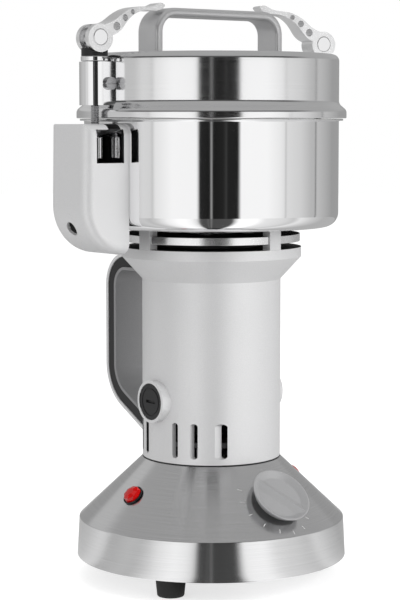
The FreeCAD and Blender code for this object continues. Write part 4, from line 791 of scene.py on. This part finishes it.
class MILL_OT_feet(bpy.types.Operator):
    """Makes the three rubber feet, tapered and softly edged, each with a hollow for its screw."""
    bl_idname = "mill.feet"
    bl_label = "Feet"

    def execute(self, context):
        s = sizes()
        _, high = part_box("rubber_feet")
        top = high.z
        hollow = top * 0.45
        circle = high.y - s.foot_top
        foot = turned(rounded([
            (s.foot_recess, hollow, 0.0), (s.foot_recess, 0.0, 0.0005), (s.foot_tip, 0.0, 0.0011),
            (s.foot_top, top, 0.0008), (s.foot_bore, top, 0.0), (s.foot_bore, hollow, 0.0),
        ]), 72)
        grids = [foot + np.array([circle * math.cos(angle), circle * math.sin(angle), 0.0])
                 for angle in math.pi / 2 + round_angles(3)]
        feet = surface("feet", grids, "machine", black_rubber(), closed_u=True)
        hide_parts("rubber_feet")
        return {"FINISHED"}


class MILL_OT_column(bpy.types.Operator):
    """Dresses the motor column and its brush caps, and paints shade: black on the housing's inner faces, which
    show through its vents, and on the level faces at its top, and a thin black ring for the shadow line where the
    column meets the base.
    """
    bl_idname = "mill.column"
    bl_label = "Column"

    def execute(self, context):
        s = sizes()
        _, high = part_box("base_shell")
        # Painted shadow: a thin black ring, proud of the column, stands for the shadow line where the column meets
        # the base.
        outer = s.column_radius + 0.00008
        inner = s.column_radius - 0.0006
        low_edge = high.z + 0.00002
        top_edge = high.z + s.shadow_ring_height
        corners = [(inner, low_edge, 0.0), (outer, low_edge, 0.0),
                   (outer, top_edge, 0.0), (inner, top_edge, 0.0)]
        lathe("column_shadow_ring", corners, "machine", "black_rubber", black_rubber())
        dress(silver_lacquer(), "motor_housing")
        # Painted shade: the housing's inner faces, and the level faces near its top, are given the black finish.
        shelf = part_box("motor_housing")[1].z - 0.012
        shade_inside(frame["nodes"]["motor_housing"], black_casting_and_shade(), (1, 1, 0), shelf)
        softened("brush_caps", 0.0003, black_plastic())
        return {"FINISHED"}


class MILL_OT_deck(bpy.types.Operator):
    """Dresses the ring, black above and below as painted shade, the posts, and the bearing seat, black as painted
    shade, in the gap under the bowl.
    """
    bl_idname = "mill.deck"
    bl_label = "Deck"

    def execute(self, context):
        ring = softened("deck_ring", 0.0004, cast_aluminium())
        # Painted shade: the ring's level faces, above and below, are given the black finish.
        second_finish(ring, black_rubber(), np.abs(face_values(ring, "normal")[:, 2]) > 0.7)
        softened("bowl_posts", 0.0005, silver_lacquer())
        # Painted shade: the bearing seat is black so that the gap under the bowl reads dark.
        dress(black_casting_and_shade(), "bearing_seat")
        return {"FINISHED"}


class MILL_OT_switch_box(bpy.types.Operator):
    """Dresses the switch box with its catch plate and switch, its inside black as painted shade, and the plain
    catch on the other side.
    """
    bl_idname = "mill.switch_box"
    bl_label = "Switch box and catches"

    def execute(self, context):
        self.access_plate()
        box = softened("switch_box", 0.0004, silver_lacquer())
        # Painted shade: the box's inner faces are given the black finish.
        shade_inside(box, black_plastic(), (1, 1, 1))
        softened("microswitch", 0.0003, black_plastic())
        dress(plain_steel(), "catch_plate")
        softened("right_catch", 0.0003, silver_lacquer())
        return {"FINISHED"}

    def access_plate(self):
        """A thin plate with a round hole, bent round the box's lower corner.

        A point a along the corner, b across it and r from the corner's axis lies at angle
        turn + a / radius, so at (-r cos(angle), b, -r sin(angle)) from the axis.
        """
        s = sizes()
        low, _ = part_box("switch_box")
        hole = s.access_radius
        half_length = s.plate_length
        half_width = s.plate_width
        edge = 0.0002
        proud = 0.00012
        rows = np.array([(hole, hole, -0.0016), (hole, hole, 0.0), (hole + edge, hole + edge, proud),
                         (half_length - edge, half_width - edge, proud), (half_length, half_width, -0.0001),
                         (half_length, half_width, -edge)])
        t = round_angles(96)
        last = len(rows) - 1
        share = np.linspace(0.0, last, 4 * last + 1)
        along, across, lift = (np.interp(share, np.arange(last + 1), column)[:, None] for column in rows.T)
        angle = s.access_turn + along * np.cos(t) / s.box_round
        reach = s.box_round + lift
        points = np.stack([low.x + s.box_round - reach * np.cos(angle), across * np.sin(t),
                           low.z + s.box_round - reach * np.sin(angle)], axis=-1)
        surface("access_plate", [points], "machine", silver_lacquer(),
                closed_u=True)


class MILL_OT_side_handle(bpy.types.Operator):
    """Dresses the side handle: a silver and a grey skin with a black core between them."""
    bl_idname = "mill.side_handle"
    bl_label = "Side handle"

    def execute(self, context):
        softened("grip_skin", 0.0008, silver_lacquer())
        softened("grip_liner", 0.0006, dark_lacquer())
        softened("grip_core", 0.0004, black_plastic())
        return {"FINISHED"}


def swept_arch(half, foot, top, corner, section):
    """A section carried along an arch in the XZ plane.

    The path goes up, round a corner, across, round a corner and down.  A section point (across, up)
    lies at path + normal * up, with across along Y.
    """
    path = rounded([(-half, foot, 0.0), (-half, top, corner), (half, top, corner), (half, foot, 0.0)],
                   arc_steps=16)
    along = np.gradient(path, axis=0)
    along = along / np.linalg.norm(along, axis=1)[:, None]
    normal = np.stack([-along[:, 1], along[:, 0]], axis=1)
    x = path[:, 0][:, None] + normal[:, 0][:, None] * section[:, 1]
    z = path[:, 1][:, None] + normal[:, 1][:, None] * section[:, 1]
    y = np.broadcast_to(section[:, 0], x.shape)
    return np.stack([x, y, z], axis=-1)


def rounded_bar(width, thickness, radius, steps=6):
    """The closed outline of a bar's section, a rectangle with four equal corner arcs."""
    outline = []
    for cx, cy, start in ((1, 1, 0.0), (-1, 1, 0.25), (-1, -1, 0.5), (1, -1, 0.75)):
        centre = np.array([cx * (width / 2 - radius), cy * (thickness / 2 - radius)])
        for angle in np.linspace(start, start + 0.25, steps) * FULL_TURN:
            outline.append(centre + radius * np.array([math.cos(angle), math.sin(angle)]))
    return np.array(outline)


def capped(rows):
    """Rows of points with one more row at each end, drawn together at the middle of that end."""
    ends = [row.mean(axis=1, keepdims=True).repeat(rows.shape[1], axis=1) for row in (rows[:1], rows[-1:])]
    return np.concatenate([ends[0], rows, ends[1]])


class MILL_OT_lid_handle(bpy.types.Operator):
    """Makes the lid handle: a flat bar with rounded edges, bent to a low arch."""
    bl_idname = "mill.lid_handle"
    bl_label = "Lid handle"

    def execute(self, context):
        s = sizes()
        low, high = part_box("lid_handle")
        half_bar = s.handle_sheet / 2
        section = rounded_bar(high.y - low.y, s.handle_sheet, s.bar_edge)
        points = swept_arch(high.x - half_bar, low.z, high.z - half_bar, s.handle_round - half_bar, section)
        handle = surface("lid_handle_bar", [capped(points)], "lid", satin_aluminium(),
                         sharp=50.0)
        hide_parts("lid_handle")
        dress(plain_steel(), "lid_screws")
        return {"FINISHED"}


def threaded(radius, depth, pitch, low, high, segments=24, steps=7):
    """A screw thread: at height h and angle t the radius is radius - depth * wave(h / pitch - t / turn).

    The wave is the distance of its argument from the nearest whole number, doubled.
    """
    rows = int((high - low) / pitch * steps) + 2
    h = np.linspace(low, high, rows)[:, None]
    t = round_angles(segments)
    phase = h / pitch - t / FULL_TURN
    wave = 2.0 * np.abs(phase - np.round(phase))
    r = radius - depth * wave
    thread = np.stack([r * np.cos(t), r * np.sin(t), h + 0.0 * t], axis=-1)
    tips = [np.zeros((1, segments, 3)) + (0.0, 0.0, height) for height in (low, high)]
    return np.concatenate([tips[0], thread, tips[1]])


class MILL_OT_clamps(bpy.types.Operator):
    """Makes the clamp rods with their threads and ribbed nuts, and dresses blocks, rings and pads."""
    bl_idname = "mill.clamps"
    bl_label = "Clamps"

    def execute(self, context):
        for side in ("left", "right"):
            joint = JOINTS[f"lever_{side}_swing"]
            pivot = Vector(joint["pos_m"])
            self.rod(side, pivot)
            self.eye(side, axis_frame(pivot, joint["axis"]))
            self.nut(side, pivot)
        softened("clamp_blocks", 0.0005, chrome())
        softened("clamp_rings", 0.0005, chrome())
        softened("clamp_pads", 0.0004, black_plastic())
        return {"FINISHED"}

    def rod(self, side, pivot):
        """The rod's threaded shank, up to a little below the lever's pin."""
        s = sizes()
        low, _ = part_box(f"clamp_rod_{side}")
        shank = threaded(s.rod_radius, s.thread_depth, s.thread_pitch, low.z, pivot.z - s.thread_end)
        shank = shank + np.array([pivot.x, pivot.y, 0.0])
        rod = surface(f"rod_{side}", [shank], "lid", plain_steel(), sharp=0)
        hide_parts(f"clamp_rod_{side}")

    def eye(self, side, place):
        """The plain eye at the rod's top, turned about the lever's pin."""
        s = sizes()
        half = s.eye_width / 2
        corners = [(s.eye_bore, -half, 0.0), (s.eye_radius, -half, 0.0005), (s.eye_radius, half, 0.0005),
                   (s.eye_bore, half, 0.0)]
        lathe(f"rod_eye_{side}", corners, "lid", "bright_chrome", chrome(), place=place, segments=48)

    def nut(self, side, pivot):
        """A round nut whose wall is fluted: radius times 1 - depth * (0.5 - 0.5 cos(flutes * angle))."""
        low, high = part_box(f"clamp_nut_{side}")
        radius = (high.x - low.x) / 2
        depth = 0.05
        edge = 0.0006
        segments = 144
        profile = rounded([(0.0, low.z, 0.0), (radius, low.z, edge), (radius, high.z, edge),
                           (0.0, high.z, 0.0)], run=0.001)
        points = turned(profile, segments)
        on_wall = (profile[:, 0] > radius * 0.995)[:, None]
        flutes = 0.5 - 0.5 * np.cos(sizes().nut_flutes * round_angles(segments))
        points[..., :2] *= (1.0 - depth * on_wall * flutes)[..., None]
        points = points + np.array([pivot.x, pivot.y, 0.0])
        nut = surface(f"nut_{side}", [points], "lid", chrome())
        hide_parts(f"clamp_nut_{side}")


class MILL_OT_levers(bpy.types.Operator):
    """Dresses the clamp levers and their pins."""
    bl_idname = "mill.levers"
    bl_label = "Levers"

    def execute(self, context):
        for side in ("left", "right"):
            softened(f"clamp_lever_{side}", 0.0006, cast_aluminium())
            softened(f"pivot_pin_{side}", 0.0005, chrome())
        return {"FINISHED"}


def knob_frame():
    """The knob's own frame: Z along its spindle, X along the base's X, Y up the cone."""
    joint = JOINTS["timer_turn"]
    out = Vector(joint["axis"]).normalized()
    across = Vector((1.0, 0.0, 0.0))
    up = out.cross(across)
    turn = Matrix((across, up, out)).transposed()
    return Matrix.Translation(Vector(joint["pos_m"])) @ turn.to_4x4()


class MILL_OT_knob(bpy.types.Operator):
    """Makes the timer knob: a dished disc crossed by one ridge.

    The hollow's height is the larger of its turned profile and a ridge that falls off evenly with
    the distance from a line through the centre.
    """
    bl_idname = "mill.knob"
    bl_label = "Timer knob"

    def execute(self, context):
        s = sizes()
        r = s.knob_radius
        foot = s.knob_lift
        top = foot + s.knob_height
        inner = r - s.knob_rim
        floor = top - s.knob_dish
        shoulder = (r - 0.0002, top - 0.001)
        round_edge = 0.0003
        face = rounded([(0.0, floor, 0.0), (inner - s.knob_slope, floor, 0.0015), (inner, top, 0.0004),
                        (r, top, round_edge), (*shoulder, round_edge)], arc_steps=8, run=0.0005)
        side = rounded([(*shoulder, 0.0), (r - s.knob_undercut, foot, 0.0004), (0.0, foot, 0.0)])
        points = turned(np.vstack([face, side[1:]]), 180)
        x, y, height = np.moveaxis(points, -1, 0)
        away = x * math.sin(s.ridge_turn) - y * math.cos(s.ridge_turn)
        ridge = floor + s.knob_dish * 0.85 * np.clip(1.0 - np.abs(away) / s.ridge_width, 0.0, 1.0)
        on_face = (np.arange(len(points)) < len(face))[:, None] & (np.hypot(x, y) < inner)
        points[..., 2] = np.where(on_face, np.maximum(height, ridge), height)
        knob = surface("knob", [carried(points, knob_frame())], "timer_dial", grey_plastic())
        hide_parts("timer_knob")
        dress(plain_steel(), "timer_spindle")
        dress(black_plastic(), "timer_case")
        return {"FINISHED"}


class MILL_OT_timer_marks(bpy.types.Operator):
    """Prints short plain marks round the timer knob, laid on the cone.

    A mark's point at distance d from the spindle and angle a lies d cos(a) up the slope and
    d sin(a) round the cone, so its cone radius is the knob's less its share of the slope.
    """
    bl_idname = "mill.timer_marks"
    bl_label = "Timer marks"

    def execute(self, context):
        s = sizes()
        joint = JOINTS["timer_turn"]
        spindle = math.hypot(joint["pos_m"][0], joint["pos_m"][1])
        slope = math.acos(joint["axis"][2])
        lift = 0.00006
        grids = []
        for angle in np.linspace(s.first_mark, s.last_mark, s.mark_count):
            d = np.linspace(0.0, s.mark_length, 5)[:, None] + s.knob_radius + s.mark_gap
            a = angle + np.linspace(-0.5, 0.5, 3) * s.mark_width / (s.knob_radius + 0.003)
            climb = d * np.cos(a)
            radius = spindle - climb * math.cos(slope)
            turn = d * np.sin(a) / radius
            height = joint["pos_m"][2] + climb * math.sin(slope)
            lifted = radius + lift * math.sin(slope)
            grids.append(np.stack([lifted * np.sin(turn), -lifted * np.cos(turn),
                                   height + lift * math.cos(slope)], axis=-1))
        marks = surface("timer_marks", grids, "machine", tick_paint(), closed_v=False)
        thickness = marks.modifiers.new("ink", "SOLIDIFY")
        thickness.thickness = 0.00005
        thickness.offset = 0.0
        return {"FINISHED"}


class MILL_OT_lamps(bpy.types.Operator):
    """Makes the lamps: a cut red lens in a slim black ring, one on each side of the base.

    A lens is rings of points, (radius, height), from the middle of its back to the middle of its
    face.  Each pair of rings after the first point is turned half a facet from the pair before it,
    which gives the cut faces.
    """
    bl_idname = "mill.lamps"
    bl_label = "Lamps"

    def execute(self, context):
        s = sizes()
        joint = JOINTS["timer_turn"]
        slope = math.acos(joint["axis"][2])
        height = joint["pos_m"][2] + (-joint["pos_m"][1] - s.lamp_circle) * math.tan(slope)
        foot = 0.0006
        r = s.lamp_radius
        rings = [(0.0, foot), (r, foot), (r, 0.0018), (r * 0.86, 0.0032), (r * 0.48, 0.0043), (0.0, 0.0047)]
        facets = s.lens_facets
        rows = []
        for number, (radius, lift) in enumerate(rings):
            t = round_angles(facets) + max(0, number - 1) // 2 * FULL_TURN / facets / 2
            rows.append(np.stack([radius * np.cos(t), radius * np.sin(t), lift + 0.0 * t], axis=-1))
        lens = np.stack(rows)
        up = Vector((0.0, 0.0, 1.0))
        grids = []
        for side in (-1, 1):
            aside = Vector((side * math.cos(s.lamp_turn), -math.sin(s.lamp_turn), 0.0))
            out = aside * math.sin(slope) + up * math.cos(slope)
            grids.append(carried(lens, axis_frame(aside * s.lamp_circle + up * height, out)))
        lenses = surface("lenses", grids, "machine", red_lens(), sharp=8.0)
        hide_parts("lamp_lenses")
        softened("lamp_bodies", 0.0002, black_plastic())
        return {"FINISHED"}


class MILL_OT_inside(bpy.types.Operator):
    """Dresses the pieces inside the column, the bowl and the base, and the cord gland."""
    bl_idname = "mill.inside"
    bl_label = "Inside pieces"

    def execute(self, context):
        dress(plain_steel(), "motor_shaft", "lower_bearing", "upper_bearing", "bowl_screws", "motor_screws",
              "seal_housing", "blade_spacers", "brush_springs", "blade_lower", "blade_middle", "blade_upper")
        dress(chrome(), "blade_nut")
        dress(black_casting_and_shade(), "lower_bracket")
        dress(laminations(), "stator_core", "armature_core")
        dress(copper(), "field_coils", "armature_windings", "commutator")
        dress(brass(), "brush_holders")
        dress(carbon(), "carbon_brushes")
        dress(black_plastic(), "cooling_fan")
        dress(black_rubber(), "shaft_seal")
        softened("cord_gland", 0.0006, black_plastic())
        return {"FINISHED"}


# ---------------------------------------------------------------- stage
# Brightness that the metal mirrors, as (degrees round the mill from the dark gap, value).
WALL_STOPS = (
    (-180, 0.33), (-140, 0.35), (-115, 0.46), (-90, 0.55), (-70, 0.55), (-62, 0.70), (-54, 0.68), (-52, 0.57),
    (-50, 0.80), (-34, 0.97), (-12, 0.96), (-10, 0.02), (-1.2, 0.012), (-0.4, 0.34), (0.6, 0.34),
    (1.4, 0.012), (11, 0.018), (12.2, 0.06), (13.4, 0.018), (23.3, 0.015), (25, 0.98), (49, 0.98), (62, 0.86),
    (66, 0.78), (67.5, 0.56), (69, 0.74), (84, 0.66), (98, 0.49), (102.5, 0.49), (104, 0.20), (106, 0.54),
    (135, 0.34))
RING_STOPS = (
    (-180, 0.46), (-150, 0.52), (-95, 0.52), (-70, 0.08), (70, 0.08), (95, 0.36), (150, 0.40))
FLOOR_STOPS = (
    (-180, 0.50), (-131, 0.51), (-111, 0.60), (-93, 0.80), (-84, 0.68), (-83, 0.25), (-82, 0.47), (-62, 0.60),
    (-55, 0.52), (-48, 0.66), (-39, 0.92), (-26, 1.12), (-17, 1.00), (-12, 0.75), (-9.5, 0.08), (-3.3, 0.07),
    (-2.5, 0.14), (-1.7, 0.07), (-0.3, 0.07), (0.3, 0.30), (0.9, 0.07), (18, 0.08), (20, 0.50), (23.5, 1.08),
    (39, 1.13), (48, 0.84), (68, 0.72), (78, 0.60), (86, 0.83), (101, 0.62), (121, 0.45))

# The shell's wall, its ring and its roof meet over these heights, as shares of its radius.
WALL_TO_RING = (0.34, 0.40)
RING_TO_ROOF = (0.58, 0.66)


def lit_for(tree, strength_seen, strength_other):
    """A value that is strength_seen for camera, glossy and transmission rays, else strength_other."""
    path = add_node(tree, "ShaderNodeLightPath")
    seen = math_node(tree, "MAXIMUM", path.outputs["Is Camera Ray"], path.outputs["Is Glossy Ray"])
    seen = math_node(tree, "MAXIMUM", seen, path.outputs["Is Transmission Ray"])
    spread = math_node(tree, "MULTIPLY", seen, strength_seen - strength_other)
    return math_node(tree, "ADD", spread, strength_other)


def place_round(tree):
    """The share of the circle round Z, 0.5 where the dark gap stands, and the height."""
    place = add_node(tree, "ShaderNodeTexCoord").outputs["Object"]
    x, y, z = add_node(tree, "ShaderNodeSeparateXYZ", {0: place}).outputs
    gap = math.atan2(studio().camera_place[1], studio().camera_place[0])
    ahead = math_node(tree, "ADD", math_node(tree, "MULTIPLY", x, math.cos(gap)),
                      math_node(tree, "MULTIPLY", y, math.sin(gap)))
    aside = math_node(tree, "SUBTRACT", math_node(tree, "MULTIPLY", y, math.cos(gap)),
                      math_node(tree, "MULTIPLY", x, math.sin(gap)))
    angle = math_node(tree, "ARCTAN2", aside, ahead)
    return math_node(tree, "ADD", math_node(tree, "DIVIDE", angle, FULL_TURN), 0.5), z


def ramp_round(tree, share, stops):
    """The brightness at a share of the circle, from stops (degrees from -180 to 180, brightness)."""
    node = add_node(tree, "ShaderNodeValToRGB", {0: share})
    elements = node.color_ramp.elements
    while len(elements) > 1:
        elements.remove(elements[-1])
    elements[0].position = 0.0
    elements[0].color = grey(stops[0][1])
    for angle, brightness in stops[1:]:
        elements.new((angle + 180.0) / 360.0).color = grey(brightness)
    return node.outputs[0]


def stage_surface(name, points, material):
    """A piece of the stage: a grid of points that closes round Z."""
    mesh = grid_mesh(name, [points])
    mesh.materials.append(material)
    piece = link_new(name, mesh)
    return piece


class MILL_OT_stage(bpy.types.Operator):
    """Sets the floor, the pale room, the soft boxes that the metal mirrors, the lamps and the camera."""
    bl_idname = "mill.stage"
    bl_label = "Stage"

    def execute(self, context):
        self.world()
        self.floor()
        self.soft_boxes()
        self.lamps()
        self.camera()
        context.scene.view_settings.view_transform = "Standard"
        return {"FINISHED"}

    def world(self):
        """A pale room, white where it is seen or mirrored."""
        world = bpy.data.worlds.new("pale_room")
        bpy.context.scene.world = world
        world.use_nodes = True
        tree = world.node_tree
        background = tree.nodes["Background"]
        background.inputs["Color"].default_value = grey(1.0)
        tree.links.new(lit_for(tree, 1.0, studio().fill), background.inputs["Strength"])

    def floor(self):
        """A round floor of matt paper, (r cos t, r sin t, 0), that keeps a soft shadow."""
        radius = np.linspace(0.0, 6.0, 9)[:, None]
        t = round_angles(64)
        points = np.stack([radius * np.cos(t), radius * np.sin(t), 0.0 * radius * t], axis=-1)
        stage_surface("floor", points, self.floor_paper())

    def floor_paper(self):
        """Paper that is seen near white, and that metal mirrors as a ramp of greys round the mill."""
        material, tree = new_material("floor_paper")
        shader = tree.nodes["Principled BSDF"]
        shader.inputs["Roughness"].default_value = 0.95
        shader.inputs["Specular IOR Level"].default_value = 0.0
        paper = grey(studio().paper)
        mirrored = add_node(tree, "ShaderNodeLightPath").outputs["Is Glossy Ray"]
        share, _ = place_round(tree)
        glow = mixed(tree, mirrored, paper, ramp_round(tree, share, FLOOR_STOPS))
        tree.links.new(mixed(tree, mirrored, paper, grey(0.0)), shader.inputs["Base Color"])
        tree.links.new(glow, shader.inputs["Emission Color"])
        tree.links.new(lit_for(tree, 1.0, 0.0), shader.inputs["Emission Strength"])
        return material

    def soft_boxes(self):
        """A shell round the mill that only glossy rays see: two broad soft boxes with a dark gap.

        Its point at height angle e and round angle t is radius * (cos e cos t, cos e sin t, sin e).
        """
        radius = studio().dome
        e = np.linspace(math.radians(-2.0), math.pi / 2, 24)[:, None]
        t = round_angles(96)
        points = np.stack([np.cos(e) * np.cos(t), np.cos(e) * np.sin(t), np.sin(e) + 0.0 * t], axis=-1)
        shell = stage_surface("soft_boxes", radius * points, self.soft_box_light())
        for flag in ("camera", "diffuse", "shadow", "volume_scatter", "transmission"):
            setattr(shell, "visible_" + flag, False)

    def soft_box_light(self):
        """Emission alone: the wall's ramp low down, the ring's ramp above it and an even grey on top."""
        material, tree = new_material("soft_box_light")
        tree.nodes.remove(tree.nodes["Principled BSDF"])
        share, z = place_round(tree)
        wall = ramp_round(tree, share, WALL_STOPS)
        ring = ramp_round(tree, share, RING_STOPS)
        rise = math_node(tree, "DIVIDE", z, studio().dome)
        lower = mixed(tree, ranged(tree, rise, *WALL_TO_RING), wall, ring)
        whole = mixed(tree, ranged(tree, rise, *RING_TO_ROOF), lower, grey(studio().roof))
        light = add_node(tree, "ShaderNodeEmission", {"Color": whole})
        tree.links.new(light.outputs[0], tree.nodes["Material Output"].inputs["Surface"])
        return material

    def lamps(self):
        """Two tall side lamps and one above, all soft, kept out of the reflections."""
        s = studio()
        aim = Vector((0.0, 0.0, 0.17))
        for name, place, width, tall, power in (
                ("left_lamp", (-1.5, -0.55, 0.6), 0.9, 1.4, s.key),
                ("right_lamp", (0.75, -1.6, 0.7), 0.9, 1.4, s.key * s.key_ratio),
                ("top_lamp", (0.0, 0.1, 1.9), 1.4, 1.4, s.key)):
            data = bpy.data.lights.new(name, "AREA")
            data.shape = "RECTANGLE"
            data.size = width
            data.size_y = tall
            data.energy = power
            lamp = link_new(name, data)
            lamp.location = place
            lamp.rotation_euler = (aim - Vector(place)).to_track_quat("-Z", "Y").to_euler()
            lamp.visible_glossy = False

    def camera(self):
        """A level camera, turned to the mill and tipped down a little."""
        s = studio()
        data = bpy.data.cameras.new("camera")
        data.lens = s.camera_lens
        data.sensor_width = 36.0
        camera = link_new("camera", data)
        camera.location = s.camera_place
        camera.rotation_euler = (math.pi / 2 - s.camera_pitch, 0.0, s.camera_yaw)
        bpy.context.scene.camera = camera


class MILL_PT_panel(bpy.types.Panel):
    """Lists the mill's pieces, sizes and colours."""
    bl_idname = "MILL_PT_panel"
    bl_label = "Mill"
    bl_space_type = "VIEW_3D"
    bl_region_type = "UI"
    bl_category = "Mill"

    def draw(self, context):
        layout = self.layout
        for operator in OPERATORS:
            layout.operator(operator.bl_idname)
        for group in (sizes(), colours(), studio()):
            for key in group.bl_rna.properties.keys():
                if key not in ("rna_type", "name"):
                    layout.prop(group, key)


OPERATORS = (MILL_OT_stage, MILL_OT_lid, MILL_OT_bowl, MILL_OT_base, MILL_OT_feet, MILL_OT_column,
             MILL_OT_deck, MILL_OT_switch_box, MILL_OT_side_handle, MILL_OT_lid_handle, MILL_OT_clamps,
             MILL_OT_levers, MILL_OT_knob, MILL_OT_timer_marks, MILL_OT_lamps, MILL_OT_inside)
SETTINGS = {"mill_sizes": MillSizes, "mill_colours": MillColours, "mill_studio": StudioSettings}


def register():
    for name, group in SETTINGS.items():
        bpy.utils.register_class(group)
        setattr(bpy.types.Scene, name, bpy.props.PointerProperty(type=group))
    for operator in OPERATORS:
        bpy.utils.register_class(operator)
    bpy.utils.register_class(MILL_PT_panel)


def unregister():
    bpy.utils.unregister_class(MILL_PT_panel)
    for operator in reversed(OPERATORS):
        bpy.utils.unregister_class(operator)
    for name, group in SETTINGS.items():
        delattr(bpy.types.Scene, name)
        bpy.utils.unregister_class(group)


def main():
    register()
    for operator in OPERATORS:
        module, name = operator.bl_idname.split(".")
        getattr(getattr(bpy.ops, module), name)()
    bpy.context.view_layer.update()


if __name__ == "__main__":
    main()
